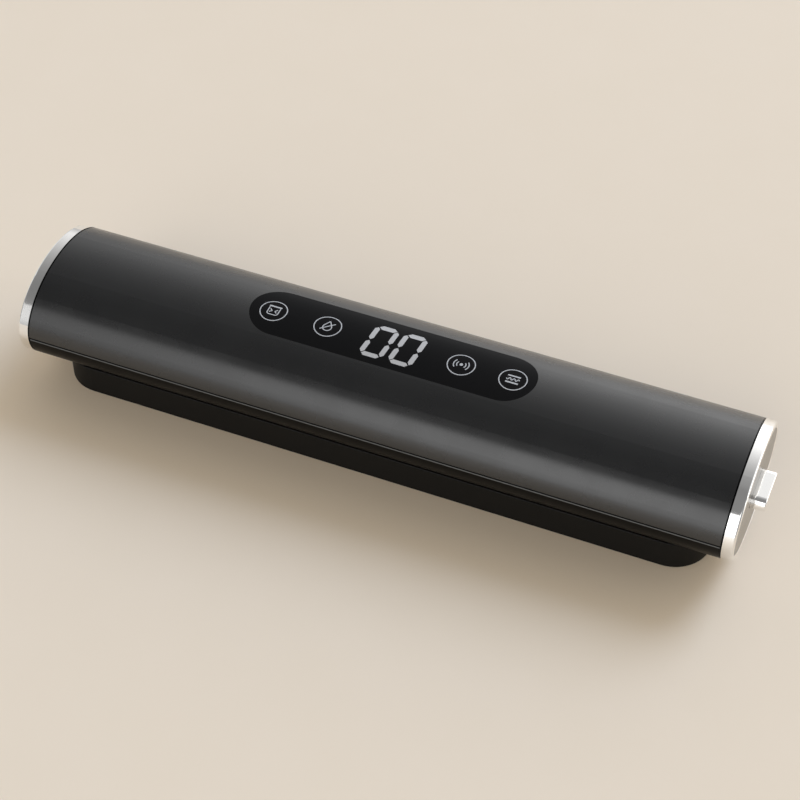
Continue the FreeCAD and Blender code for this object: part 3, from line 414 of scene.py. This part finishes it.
class CrownLine:
    """Line of the touch panel's top across the bar, read from the panel's own points.

    A point is on the top when it lies less than SKIN millimetres under the lid's ellipse.
    """

    SKIN = 0.4

    def __init__(self) -> None:
        """Read the panel's points and tabulate place and height against length along the line."""
        mesh = frame["nodes"]["touch_panel"].data
        flat = np.empty(3 * len(mesh.vertices))
        mesh.vertices.foreach_get("co", flat)
        points = flat.reshape(-1, 3) / MM
        low, high = node_box("upper_shell")
        self.middle = (low[0] + high[0]) / 2
        seam = self.seam_height()
        half = (high[1] - low[1]) / 2
        ellipse = seam + (high[2] - seam) * np.sqrt(1 - (points[:, 1] / half) ** 2)
        top = points[points[:, 2] > ellipse - self.SKIN]
        self.y, first = np.unique(top[:, 1].round(3), return_index=True)
        self.z = top[first, 2]
        step = np.hypot(np.diff(self.y), np.diff(self.z))
        self.arc = np.concatenate([[0], np.cumsum(step)])
        self.arc -= np.interp(0, self.y, self.arc)

    def seam_height(self) -> float:
        """Height of the widest line, half way up an end ring."""
        low, high = node_box("left_end_ring")
        return (high[2] + low[2]) / 2

    def place(self, x: np.ndarray, arc: np.ndarray, lift: np.ndarray) -> np.ndarray:
        """Points over the panel.

        The foot of each point is found on the line by its length along it, and the point stands off along the
        line's normal (-dz, dy).

        Args:
            x: places along the bar, from its middle.
            arc: lengths along the line from the crown, towards the rear.
            lift: heights over the panel.

        Returns:
            Points by the shape of the arguments, and axis.
        """
        slope = np.gradient(self.z, self.arc)
        run = np.gradient(self.y, self.arc)
        y = np.interp(arc, self.arc, self.y) - lift * np.interp(arc, self.arc, slope)
        z = np.interp(arc, self.arc, self.z) + lift * np.interp(arc, self.arc, run)
        return np.stack(np.broadcast_arrays(x + self.middle, y, z), axis=-1)


@dataclass
class PanelMarks:
    """Lit figures and printed keys of the touch panel, in millimetres on the panel."""

    crown: CrownLine
    stand: float = 0.03
    sink: float = 0.06
    key_x: tuple[float, ...] = KEY_X
    key_arc: float = 1.2
    key_radius: float = 6.95
    key_line: float = 0.52
    sign_line: float = 0.52
    bold_line: float = 0.9
    sign_half: float = 3.3
    weld_rise: float = 0.75
    weld_waves: int = 3
    figure_x: tuple[float, ...] = (-10.8, 4.55)
    figure_width: float = 10.25
    figure_arcs: tuple[float, ...] = (-8.9, 0.4, 11.35)
    figure_lean: tuple[float, ...] = (-1.25, 0.0, 0.6)
    upright_width: float = 2.6
    cross_widths: tuple[float, ...] = (2.5, 3.3)
    bar_gap: float = 0.5
    bar_tip: float = 0.15
    bar_steps: int = 9
    circle_steps: int = 96
    stroke_steps: int = 33
    arc_steps: int = 17

    def ribbon(self, path: np.ndarray, half_width: np.ndarray | float, ring: bool = False) -> Shape:
        """Thin plate along a path on the panel.

        Each station is an oblong across the path, from sink under the panel to stand over it.

        Args:
            path: places along the bar and along the crown line.
            half_width: half the plate's width, the same all along or one for each station.
            ring: True for a closed path.

        Returns:
            The closed plate.
        """
        way = np.roll(path, -1, axis=0) - np.roll(path, 1, axis=0) if ring else np.gradient(path, axis=0)
        way = way / np.linalg.norm(way, axis=1, keepdims=True)
        aside = np.stack([-way[:, 1], way[:, 0]], axis=-1) * np.broadcast_to(half_width, len(path))[:, None]
        sides = np.stack([path - aside, path + aside, path + aside, path - aside], axis=1)
        lift = np.array([-self.sink, -self.sink, self.stand, self.stand])
        lift = np.broadcast_to(lift, sides.shape[:2])
        return carried(self.crown.place(sides[..., 0], sides[..., 1], lift), ring)

    def bar(self, start: tuple, end: tuple, width: float) -> Shape:
        """One bar of a figure: a straight plate whose ends narrow to a blunt tip, leaning with the figure.

        Args:
            start: place of one joint along the bar and along the crown line, before the lean.
            end: place of the other joint.
            width: width of the plate.

        Returns:
            The closed plate, short of both joints by the gap.
        """
        start, end = np.array(start), np.array(end)
        length = np.linalg.norm(end - start)
        tip = width / 2 / length
        gap = self.bar_gap / length
        share = np.concatenate([[gap], np.linspace(gap + tip, 1 - gap - tip, self.bar_steps), [1 - gap]])
        half = np.full(len(share), width / 2)
        half[[0, -1]] = self.bar_tip
        path = start + share[:, None] * (end - start)
        path[:, 0] += np.interp(path[:, 1], self.figure_arcs, self.figure_lean)
        return self.ribbon(path, half)

    def figure(self, x: float) -> list[Shape]:
        """The six lit bars of a nought, whose left uprights meet at x."""
        left, right = x, x + self.figure_width
        bottom, middle, top = self.figure_arcs
        crosses = [self.bar((left, arc), (right, arc), width)
                   for arc, width in zip((bottom, top), self.cross_widths)]
        uprights = [self.bar((side, low), (side, high), self.upright_width)
                    for side in (left, right) for low, high in ((bottom, middle), (middle, top))]
        return crosses + uprights

    def circle(self, centre: tuple, radius: float, width: float) -> Shape:
        """Ring of a given line width round a centre."""
        angle = np.linspace(0, 2 * np.pi, self.circle_steps, endpoint=False)
        path = np.stack([centre[0] + radius * np.cos(angle), centre[1] + radius * np.sin(angle)], axis=-1)
        return self.ribbon(path, width / 2, ring=True)

    def stroke(self, x: float, points: list[tuple], width: float) -> Shape:
        """Pen stroke through points round a key's centre, drawn as even steps along the line they make."""
        corner = np.array(points, float)
        length = np.concatenate([[0], np.cumsum(np.linalg.norm(np.diff(corner, axis=0), axis=1))])
        even = np.linspace(0, length[-1], self.stroke_steps)
        path = np.stack([np.interp(even, length, corner[:, axis]) for axis in (0, 1)], axis=-1)
        return self.ribbon(path + (x, self.key_arc), width / 2)

    def arc_points(self, centre: tuple, radius: float, start: float, end: float) -> list[tuple]:
        """Points on part of a circle, between two angles in degrees."""
        angle = np.radians(np.linspace(start, end, self.arc_steps))
        return list(zip(centre[0] + radius * np.cos(angle), centre[1] + radius * np.sin(angle)))

    def bag(self, x: float) -> list[Shape]:
        """Bag drawn as a U with round corners."""
        line = [(-2.9, 2.3), (-2.9, -1.7)] + self.arc_points((-1.7, -1.7), 1.2, 180, 270)
        line += self.arc_points((1.7, -1.7), 1.2, 270, 360) + [(2.9, 2.3)]
        return [self.stroke(x, line, self.sign_line)]

    def suck_and_seal_sign(self, x: float) -> list[Shape]:
        """Bag with its seal and two arrow heads that press it flat."""
        arrows = [self.stroke(x, [(side * 2.0, 0.9), (side * 0.8, -0.3), (side * 2.0, -1.5)], self.sign_line)
                  for side in (-1, 1)]
        return self.bag(x) + arrows + [self.stroke(x, [(-3.4, 3.0), (3.4, 3.0)], self.bold_line)]

    def dry_sign(self, x: float) -> list[Shape]:
        """Drop that is struck through."""
        drop = [(0, 3.7)] + self.arc_points((0, -0.9), 2.3, 30, -210) + [(0, 3.7)]
        slash = [(-self.sign_half, -3.0), (self.sign_half, 2.6)]
        return [self.stroke(x, line, self.sign_line) for line in (drop, slash)]

    def pulse_sign(self, x: float) -> list[Shape]:
        """Dot between two pairs of arcs."""
        arcs = [self.stroke(x, self.arc_points((0, 0), radius, middle - 42, middle + 42), self.sign_line)
                for radius in (2.3, 3.9) for middle in (0, 180)]
        return arcs + [self.circle((x, self.key_arc), 0.45, 0.85)]

    def seal_sign(self, x: float) -> list[Shape]:
        """Two bars with a wavy weld between them, h(u) = a sin(pi n u / w) for u from -w to w."""
        half = self.sign_half
        across = np.linspace(-half, half, self.stroke_steps)
        weld = list(zip(across, self.weld_rise * np.sin(across * np.pi * self.weld_waves / half)))
        bars = [self.stroke(x, [(-half, side * 2.3), (half, side * 2.3)], self.bold_line) for side in (-1, 1)]
        return bars + [self.stroke(x, weld, self.sign_line)]

    def build(self) -> None:
        """Make the figures and the keys."""
        figures = [bar for x in self.figure_x for bar in self.figure(x)]
        make_piece("lit_figures", united(figures), LIT_ACRYLIC, "lid")
        keys = [self.circle((x, self.key_arc), self.key_radius, self.key_line) for x in self.key_x]
        signs = (self.suck_and_seal_sign, self.dry_sign, self.pulse_sign, self.seal_sign)
        keys += [stroke for x, sign in zip(self.key_x, signs) for stroke in sign(x)]
        make_piece("key_print", united(keys), PRINT_INK, "lid")


@dataclass
class FoamGasket:
    """Sponge loop round the vacuum trough, crowned on the side that meets the other loop."""

    node: str
    body: str
    crown_up: bool
    width: float = 6.7
    corner: float = 15.85
    squareness: float = 3.4
    unevenness: float = 0.05
    ripples: tuple[int, int] = (23, 41)
    ripple_shift: float = 1.3
    corner_steps: int = 24
    stations: int = 640
    section: int = 28

    def centre_line(self, low: np.ndarray, high: np.ndarray) -> tuple[np.ndarray, np.ndarray]:
        """Oblong with round corners, in even steps, and its outward direction at each step.

        The four corner arcs are joined by straight runs, then the line is cut into equal lengths.
        """
        inset = self.width / 2
        reach = (high[:2] - low[:2]) / 2 - self.corner
        middle = (high[:2] + low[:2]) / 2
        around = 4 * self.corner_steps
        angle = np.linspace(0, 2 * np.pi, around, endpoint=False) + np.pi / around
        out = np.stack([np.cos(angle), np.sin(angle)], axis=-1)
        line = middle + np.sign(out) * reach + out * (self.corner - inset)
        line = np.concatenate([line, line[:1]])
        length = np.concatenate([[0], np.cumsum(np.linalg.norm(np.diff(line, axis=0), axis=1))])
        even = np.linspace(0, length[-1], self.stations, endpoint=False)
        path = np.stack([np.interp(even, length, line[:, axis]) for axis in (0, 1)], axis=-1)
        way = np.roll(path, -1, axis=0) - np.roll(path, 1, axis=0)
        way /= np.linalg.norm(way, axis=1, keepdims=True)
        return path, np.stack([way[:, 1], -way[:, 0]], axis=-1)

    def build(self) -> None:
        """Carry a rounded block section round the loop.

        The section is a superellipse, |u|^n + |h|^n = 1, whose crown dips a little along the loop, by
        e (2 - sin(a t) - sin(b t + c)) / 4 at the angle t.
        """
        low, high = node_box(self.node)
        path, out = self.centre_line(low, high)
        angle = np.linspace(0, 2 * np.pi, self.section, endpoint=False)
        bend = 2 / self.squareness
        across = np.sign(np.cos(angle)) * np.abs(np.cos(angle)) ** bend * self.width / 2
        up = np.sign(np.sin(angle)) * np.abs(np.sin(angle)) ** bend
        half = (high[2] - low[2]) / 2
        count = np.arange(self.stations) * 2 * np.pi / self.stations
        slow, fast = self.ripples
        swell = self.unevenness * (np.sin(slow * count) + np.sin(fast * count + self.ripple_shift) - 2) / 2
        rise = np.where(up > 0, half + swell[:, None] / 2, half) * up
        height = (low[2] + high[2]) / 2 + rise * (1 if self.crown_up else -1)
        flat = path[:, None, :] + out[:, None, :] * across[None, :, None]
        shape = carried(np.concatenate([flat, height[..., None]], axis=-1), ring=True)
        piece = make_piece(self.node + "_foam", shape, SPONGE, self.body, (self.node,))


@dataclass
class TouchPads:
    """Round foam pads between the board and the panel, bulged by the squeeze and dished on top."""

    node: str = "touch_pads"
    row_x: tuple[float, ...] = KEY_X
    pinch: float = 0.45
    dish: float = 0.12
    side_steps: int = 17
    top_steps: int = 12
    top_reach: tuple[float, float] = (0.85, 0.02)

    def build(self) -> None:
        """Turn one pad about each key's axis.

        The side is r(s) = R - p (2 s - 1)^2 for s from 0 at the foot to 1 at the top, and the top is
        h(q) = H - d (1 - q^2) at the share q of the radius.
        """
        low, high = node_box(self.node)
        radius = (high[1] - low[1]) / 2
        middle_x = (low[0] + high[0]) / 2 - (self.row_x[0] + self.row_x[-1]) / 2
        middle_y = (low[1] + high[1]) / 2
        rise = np.linspace(0, 1, self.side_steps)
        reach = radius - self.pinch * (2 * rise - 1) ** 2
        side = np.stack([reach, low[2] + rise * (high[2] - low[2])], axis=-1)
        inward = np.linspace(*self.top_reach, self.top_steps)
        top = np.stack([radius * inward, high[2] - self.dish * (1 - inward ** 2)], axis=-1)
        profile = np.concatenate([[[POLE_RADIUS, low[2]]], side, top])
        shape = united([turned(profile, (middle_x + x, middle_y)) for x in self.row_x])
        piece = make_piece("touch_pads_foam", shape, PAD_FOAM, "lid", (self.node,))


@dataclass
class PressStrip:
    """Silicone strip that backs the heater, with three soft ridges along it."""

    node: str = "press_strip"
    ridge_height: float = 0.12
    ridges: int = 3
    edge_drop: float = 0.5
    end_round: float = 1.5
    end_size: float = 0.7
    section_steps: int = 33
    stations: int = 60

    def build(self) -> None:
        """Carry the ridged section along the strip.

        Top height is h(u) = h0 - k u^4 + a cos(pi n u) for u from -1 to 1, and both ends draw in along a
        quarter circle.
        """
        low, high = node_box(self.node)
        across = np.linspace(-1, 1, self.section_steps)
        half = (high[1] - low[1]) / 2
        tall = high[2] - low[2] - self.ridge_height
        top = tall - self.edge_drop * across ** 4 + self.ridge_height * np.cos(np.pi * self.ridges * across)
        section = np.stack([np.concatenate([across, [1, -1]]) * half, np.concatenate([top, [0, 0]])], axis=-1)
        run = (1 - np.cos(np.linspace(0, np.pi, self.stations))) / 2
        x = low[0] + run * (high[0] - low[0])
        near = np.clip(np.minimum(x - low[0], high[0] - x) / self.end_round, 0, 1)
        draw = self.end_size + (1 - self.end_size) * np.sqrt(1 - (1 - near) ** 2)
        y = (low[1] + high[1]) / 2 + section[None, :, 0] * draw[:, None]
        z = low[2] + section[None, :, 1] * draw[:, None]
        stations = np.stack([np.broadcast_to(x[:, None], y.shape), y, z], axis=-1)
        make_piece("press_strip_silicone", carried(stations), SILICONE, "base", (self.node,))


@dataclass
class RubberFeet:
    """Four feet, each with a hollow middle, a groove round it and a rounded rim."""

    node: str = "rubber_feet"
    radius: float = 6.0
    tread: float = 0.3
    tread_lip: float = 0.06
    tread_reach: tuple[float, ...] = (0.02, 0.24, 0.29, 0.33, 0.52, 0.56, 0.61, 0.68, 0.73, 0.77)
    rim_round: float = 0.45
    rim_steps: int = 7

    def build(self) -> None:
        """Turn one foot profile about four axes."""
        low, high = node_box(self.node)
        bend = np.linspace(0, np.pi / 2, self.rim_steps)
        rim = np.stack([self.radius - self.rim_round * (1 - np.sin(bend)),
                        low[2] + self.rim_round * (1 - np.cos(bend))], axis=-1)
        deep, lip = self.tread, self.tread_lip
        tread = low[2] + np.array([deep, deep, lip, 0.0, 0.0, lip, deep, deep, lip, 0.0])
        reach = self.radius * np.array(self.tread_reach)
        top = np.array([[self.radius, high[2]], [POLE_RADIUS, high[2]]])
        profile = np.concatenate([np.stack([reach, tread], axis=-1), rim, top])
        plan = [(x, y) for x in (low[0] + self.radius, high[0] - self.radius)
                for y in (low[1] + self.radius, high[1] - self.radius)]
        shape = united([turned(profile, centre) for centre in plan])
        make_piece("moulded_feet", shape, RUBBER, "base", (self.node,))


@dataclass
class CrossScrews:
    """Pan-head screws whose heads look down and have a cross recess."""

    node: str
    body: str
    row_x: tuple[float, ...]
    row_y: tuple[float, ...]
    head_radius: float = 2.7
    head_height: float = 1.6
    shank_radius: float = 1.28
    arm_half: float = 0.36
    arm_length: float = 1.5
    recess: float = 0.9
    edge: float = 0.22
    dome: float = 0.3
    rim: float = 0.25
    thread_pitch: float = 1.1
    thread_depth: float = 0.12
    face_span: tuple[float, float] = (0.015, 0.93)
    face_steps: int = 24
    face_slack: float = 0.01
    shank_start: float = 0.05
    steps: int = 60

    def screw(self, centre: tuple[float, float], low: float, high: float) -> Shape:
        """One screw, turned about its axis.

        The face of the head is a shallow dome, z = low + d (r / R)^2, less a cross whose walls slope over a
        short edge: depth = recess * max(f(x, y), f(y, x)) with f = clip((a - |x|) / e) clip((l - |y|) / e).
        The shank's radius swells and shrinks with the thread.
        """
        face = np.linspace(*self.face_span, self.face_steps) * self.head_radius
        profile = np.stack([face, low + self.dome * (face / self.head_radius) ** 2], axis=-1)
        side = low + self.head_height
        shoulder = np.array([[self.head_radius, low + self.dome + self.rim], [self.head_radius, side],
                             [self.shank_radius, side]])
        run = np.linspace(self.shank_start, 1, self.steps)
        height = side + run * (high - side)
        thread = self.thread_depth * np.abs(((height - side) / self.thread_pitch) % 1 - 0.5) * 2
        shank = np.stack([self.shank_radius - self.thread_depth + thread, height], axis=-1)
        profile = np.concatenate([profile, shoulder, shank, [[POLE_RADIUS, high]]])
        shape = turned(profile, centre, sides=self.steps)
        x = np.abs(shape.points[:, 0] - centre[0])
        y = np.abs(shape.points[:, 1] - centre[1])
        arm = [np.clip((self.arm_half - across) / self.edge, 0, 1)
               * np.clip((self.arm_length - along) / self.edge, 0, 1) for across, along in ((x, y), (y, x))]
        on_face = shape.points[:, 2] < low + self.dome + self.face_slack
        shape.points[:, 2] += np.where(on_face, self.recess * np.maximum(*arm), 0)
        return shape

    def build(self) -> None:
        """Make all the screws of the node in one piece."""
        low, high = node_box(self.node)
        middle = (low[0] + high[0]) / 2
        shapes = [self.screw((middle + x, y), low[2], high[2]) for x in self.row_x for y in self.row_y]
        make_piece(self.node + "_cross", united(shapes), ZINC_STEEL, self.body, (self.node,))


@dataclass
class ReturnSpring:
    """Coil spring behind the release button: open turns between two closed ones."""

    node: str = "button_spring"
    joint: str = "release_press"
    stroke: float = 3.0
    wire_radius: float = 0.4
    turns: int = 6
    end_pitch: float = 0.85
    steps: int = 60
    section: int = 14

    def build(self) -> None:
        """Carry the round wire along a coil whose rise is slow over the first and the last turn.

        The wire's middle is (x(t), R cos t, R sin t), and its section lies in the plane of the outward
        direction and of that direction's cross product with the tangent.
        """
        low, high = node_box(self.node)
        middle = (low + high) / 2
        radius = (high[1] - low[1]) / 2 - self.wire_radius
        start, end = low[0] + self.wire_radius, high[0] - self.wire_radius
        angle = np.linspace(0, 2 * np.pi * self.turns, self.turns * self.steps + 1)
        knots = 2 * np.pi * np.array([0, 1, self.turns - 1, self.turns])
        x = np.interp(angle, knots, [start, start + self.end_pitch, end - self.end_pitch, end])
        line = np.stack([x, middle[1] + radius * np.cos(angle), middle[2] + radius * np.sin(angle)], axis=-1)
        out = np.stack([np.zeros_like(angle), np.cos(angle), np.sin(angle)], axis=-1)
        aside = np.cross(out, np.gradient(line, axis=0))
        aside /= np.linalg.norm(aside, axis=1, keepdims=True)
        turn = np.linspace(0, 2 * np.pi, self.section, endpoint=False)[None, :, None]
        round_wire = np.cos(turn) * out[:, None] + np.sin(turn) * aside[:, None]
        shape = carried(line[:, None] + self.wire_radius * round_wire)
        piece = make_piece("button_spring_coil", shape, SPRING_WIRE, "lid", (self.node,))
        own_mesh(piece)


@dataclass
class Stage:
    """Floor, room light and camera."""

    floor_half: float = 20.0
    azimuth: float = 22.093
    elevation: float = 46.668
    camera_place: tuple[float, float, float] = (0.2655, -0.6492, 0.7688)
    lens: float = 90.376
    sensor_width: float = 36.0
    front_box: float = 2.6
    box_tilt: float = -0.21
    background: str = "#e3d8c9"
    ramps: tuple[tuple[str, str, float, float, float, float], ...] = (
        ("edge_top", "tilted", 0.752, 0.792, 1.0, 0.0), ("edge_left", "X", -0.7, -0.45, 0.0, 1.0),
        ("edge_right", "X", 0.15, 0.4, 1.0, 0.0), ("edge_rear", "Y", -0.1, 0.1, 0.0, 1.0),
        ("edge_joint_left", "X", -0.49, -0.46, 1.0, 0.2), ("edge_joint_right", "X", -0.38, -0.35, 0.2, 1.0),
        ("front_fill", "Z", 0.5, 0.8, 0.4, 0.26), ("front_foot", "Z", -0.05, 0.3, 0.45, 1.0),
        ("front_gain", "X", -0.4, -0.1, 1.02, 1.12),
        ("rear_glow", "Z", 0.25, 0.99, 2.45, 0.33), ("rear_foot", "Z", 0.0, 0.3, 0.5, 1.0),
        ("rear_gain", "X", -0.4, -0.1, 0.49, 1.12))
    sun_elevation: float = 41.0
    sun_azimuth: float = 25.0
    sun_spread: float = 32.0
    sun_level: float = 1.42
    sun_colour: tuple[float, float, float] = (0.74, 1.0, 1.52)

    def floor(self) -> None:
        """Flat pale floor."""
        half = self.floor_half
        mesh = bpy.data.meshes.new("floor")
        corners = [(-half, -half, 0), (half, -half, 0), (half, half, 0), (-half, half, 0)]
        mesh.from_pydata(corners, [], [(0, 1, 2, 3)])
        mesh.materials.append(PAINTED_FLOOR.material())
        plane = bpy.data.objects.new("floor", mesh)
        bpy.context.scene.collection.objects.link(plane)

    def camera(self) -> None:
        """Camera at the photograph's angle."""
        data = bpy.data.cameras.new("camera")
        data.lens = self.lens
        data.sensor_width = self.sensor_width
        eye = bpy.data.objects.new("camera", data)
        bpy.context.scene.collection.objects.link(eye)
        eye.location = self.camera_place
        eye.rotation_euler = (math.radians(90 - self.elevation), 0, math.radians(self.azimuth))
        bpy.context.scene.camera = eye

    def room(self) -> None:
        """Soft light all round: two boxes side by side in front, a glow from behind on the right.

        Light is read from the way a ray leaves: its X tells left from right, its Y front from rear, its Z
        height. Each ramp has a name, an axis, two places on it and the levels there.
        """
        world = bpy.data.worlds.new("soft_room")
        bpy.context.scene.world = world
        world.use_nodes = True
        tree = world.node_tree
        tree.nodes.clear()
        way = add_node(tree, "ShaderNodeTexCoord")
        axes = add_node(tree, "ShaderNodeSeparateXYZ", {"Vector": way.outputs["Generated"]}).outputs
        tilted = add_node(tree, "ShaderNodeMath", {0: axes["X"], 1: self.box_tilt, 2: axes["Z"]},
                          operation="MULTIPLY_ADD")
        places = {"X": axes["X"], "Y": axes["Y"], "Z": axes["Z"], "tilted": tilted.outputs["Value"]}
        levels = {}
        for name, axis, start, end, low, high in self.ramps:
            levels[name] = add_node(tree, "ShaderNodeMapRange", {
                "Value": places[axis], "From Min": start, "From Max": end, "To Min": low, "To Max": high},
                interpolation_type="SMOOTHSTEP" if name.startswith("edge") else "LINEAR").outputs["Result"]
        inside = add_node(tree, "ShaderNodeMath", {
            0: levels["edge_joint_left"], 1: levels["edge_joint_right"]}, operation="MAXIMUM")
        for name in ("edge_left", "edge_right", "edge_top", "front_foot"):
            inside = add_node(tree, "ShaderNodeMath", {0: inside.outputs["Value"], 1: levels[name]},
                              operation="MULTIPLY")
        front = add_node(tree, "ShaderNodeMix", {
            0: inside.outputs["Value"], 2: levels["front_fill"], 3: self.front_box})
        front = add_node(tree, "ShaderNodeMath", {0: front.outputs[0], 1: levels["front_gain"]},
                         operation="MULTIPLY")
        rear = add_node(tree, "ShaderNodeMath", {0: levels["rear_glow"], 1: levels["rear_foot"]},
                        operation="MULTIPLY")
        rear = add_node(tree, "ShaderNodeMath", {0: rear.outputs["Value"], 1: levels["rear_gain"]},
                        operation="MULTIPLY")
        strength = add_node(tree, "ShaderNodeMix", {
            0: levels["edge_rear"], 2: front.outputs["Value"], 3: rear.outputs["Value"]})
        light = add_node(tree, "ShaderNodeBackground", {"Strength": strength.outputs[0]})
        pale = add_node(tree, "ShaderNodeBackground", {"Color": linear(self.background), "Strength": 1.0})
        path = add_node(tree, "ShaderNodeLightPath")
        seen = add_node(tree, "ShaderNodeMixShader", {
            0: path.outputs["Is Camera Ray"], 1: light.outputs["Background"], 2: pale.outputs["Background"]})
        add_node(tree, "ShaderNodeOutputWorld", {"Surface": seen.outputs["Shader"]})

    def window(self) -> None:
        """Wide soft light from behind on the right, left out of mirror images so that they show the room."""
        data = bpy.data.lights.new("window", "SUN")
        data.energy = self.sun_level
        data.color = self.sun_colour
        data.angle = math.radians(self.sun_spread)
        lamp = bpy.data.objects.new("window", data)
        lamp.rotation_euler = (math.radians(90 - self.sun_elevation), 0, math.radians(180 - self.sun_azimuth))
        lamp.visible_glossy = False
        bpy.context.scene.collection.objects.link(lamp)

    def build(self) -> None:
        """Set up the whole stage."""
        bpy.context.scene.view_settings.view_transform = "Standard"
        self.camera()
        self.floor()
        self.room()
        self.window()


def dress_nodes() -> None:
    """Give every CAD node its own finish, or else that of its material slot."""
    for part in frame["record"]["subparts"]:
        mesh = frame["nodes"][part["node"]].data
        mesh.materials.clear()
        finish = NODE_FINISH.get(part["node"], SLOT_FINISH[part["material_slot"]])
        mesh.materials.append(finish.material())
        LOG.info("%s: %s", part["node"], part["material_slot"])


def main() -> None:
    """Dress the CAD model, add the pieces that it lacks and set the stage."""
    dress_nodes()
    PanelMarks(CrownLine()).build()
    FoamGasket("lower_gasket", "base", crown_up=True).build()
    FoamGasket("upper_gasket", "lid", crown_up=False).build()
    TouchPads().build()
    PressStrip().build()
    RubberFeet().build()
    CrossScrews("base_screws", "base", (-122.0, 0.0, 122.0), (-22.5, 22.5)).build()
    CrossScrews("shell_screws", "lid", (-140.0, -70.0, 70.0, 140.0), (28.0,)).build()
    ReturnSpring().build()
    Stage().build()


if __name__ == "__main__":
    logging.basicConfig(level=logging.INFO)
    main()
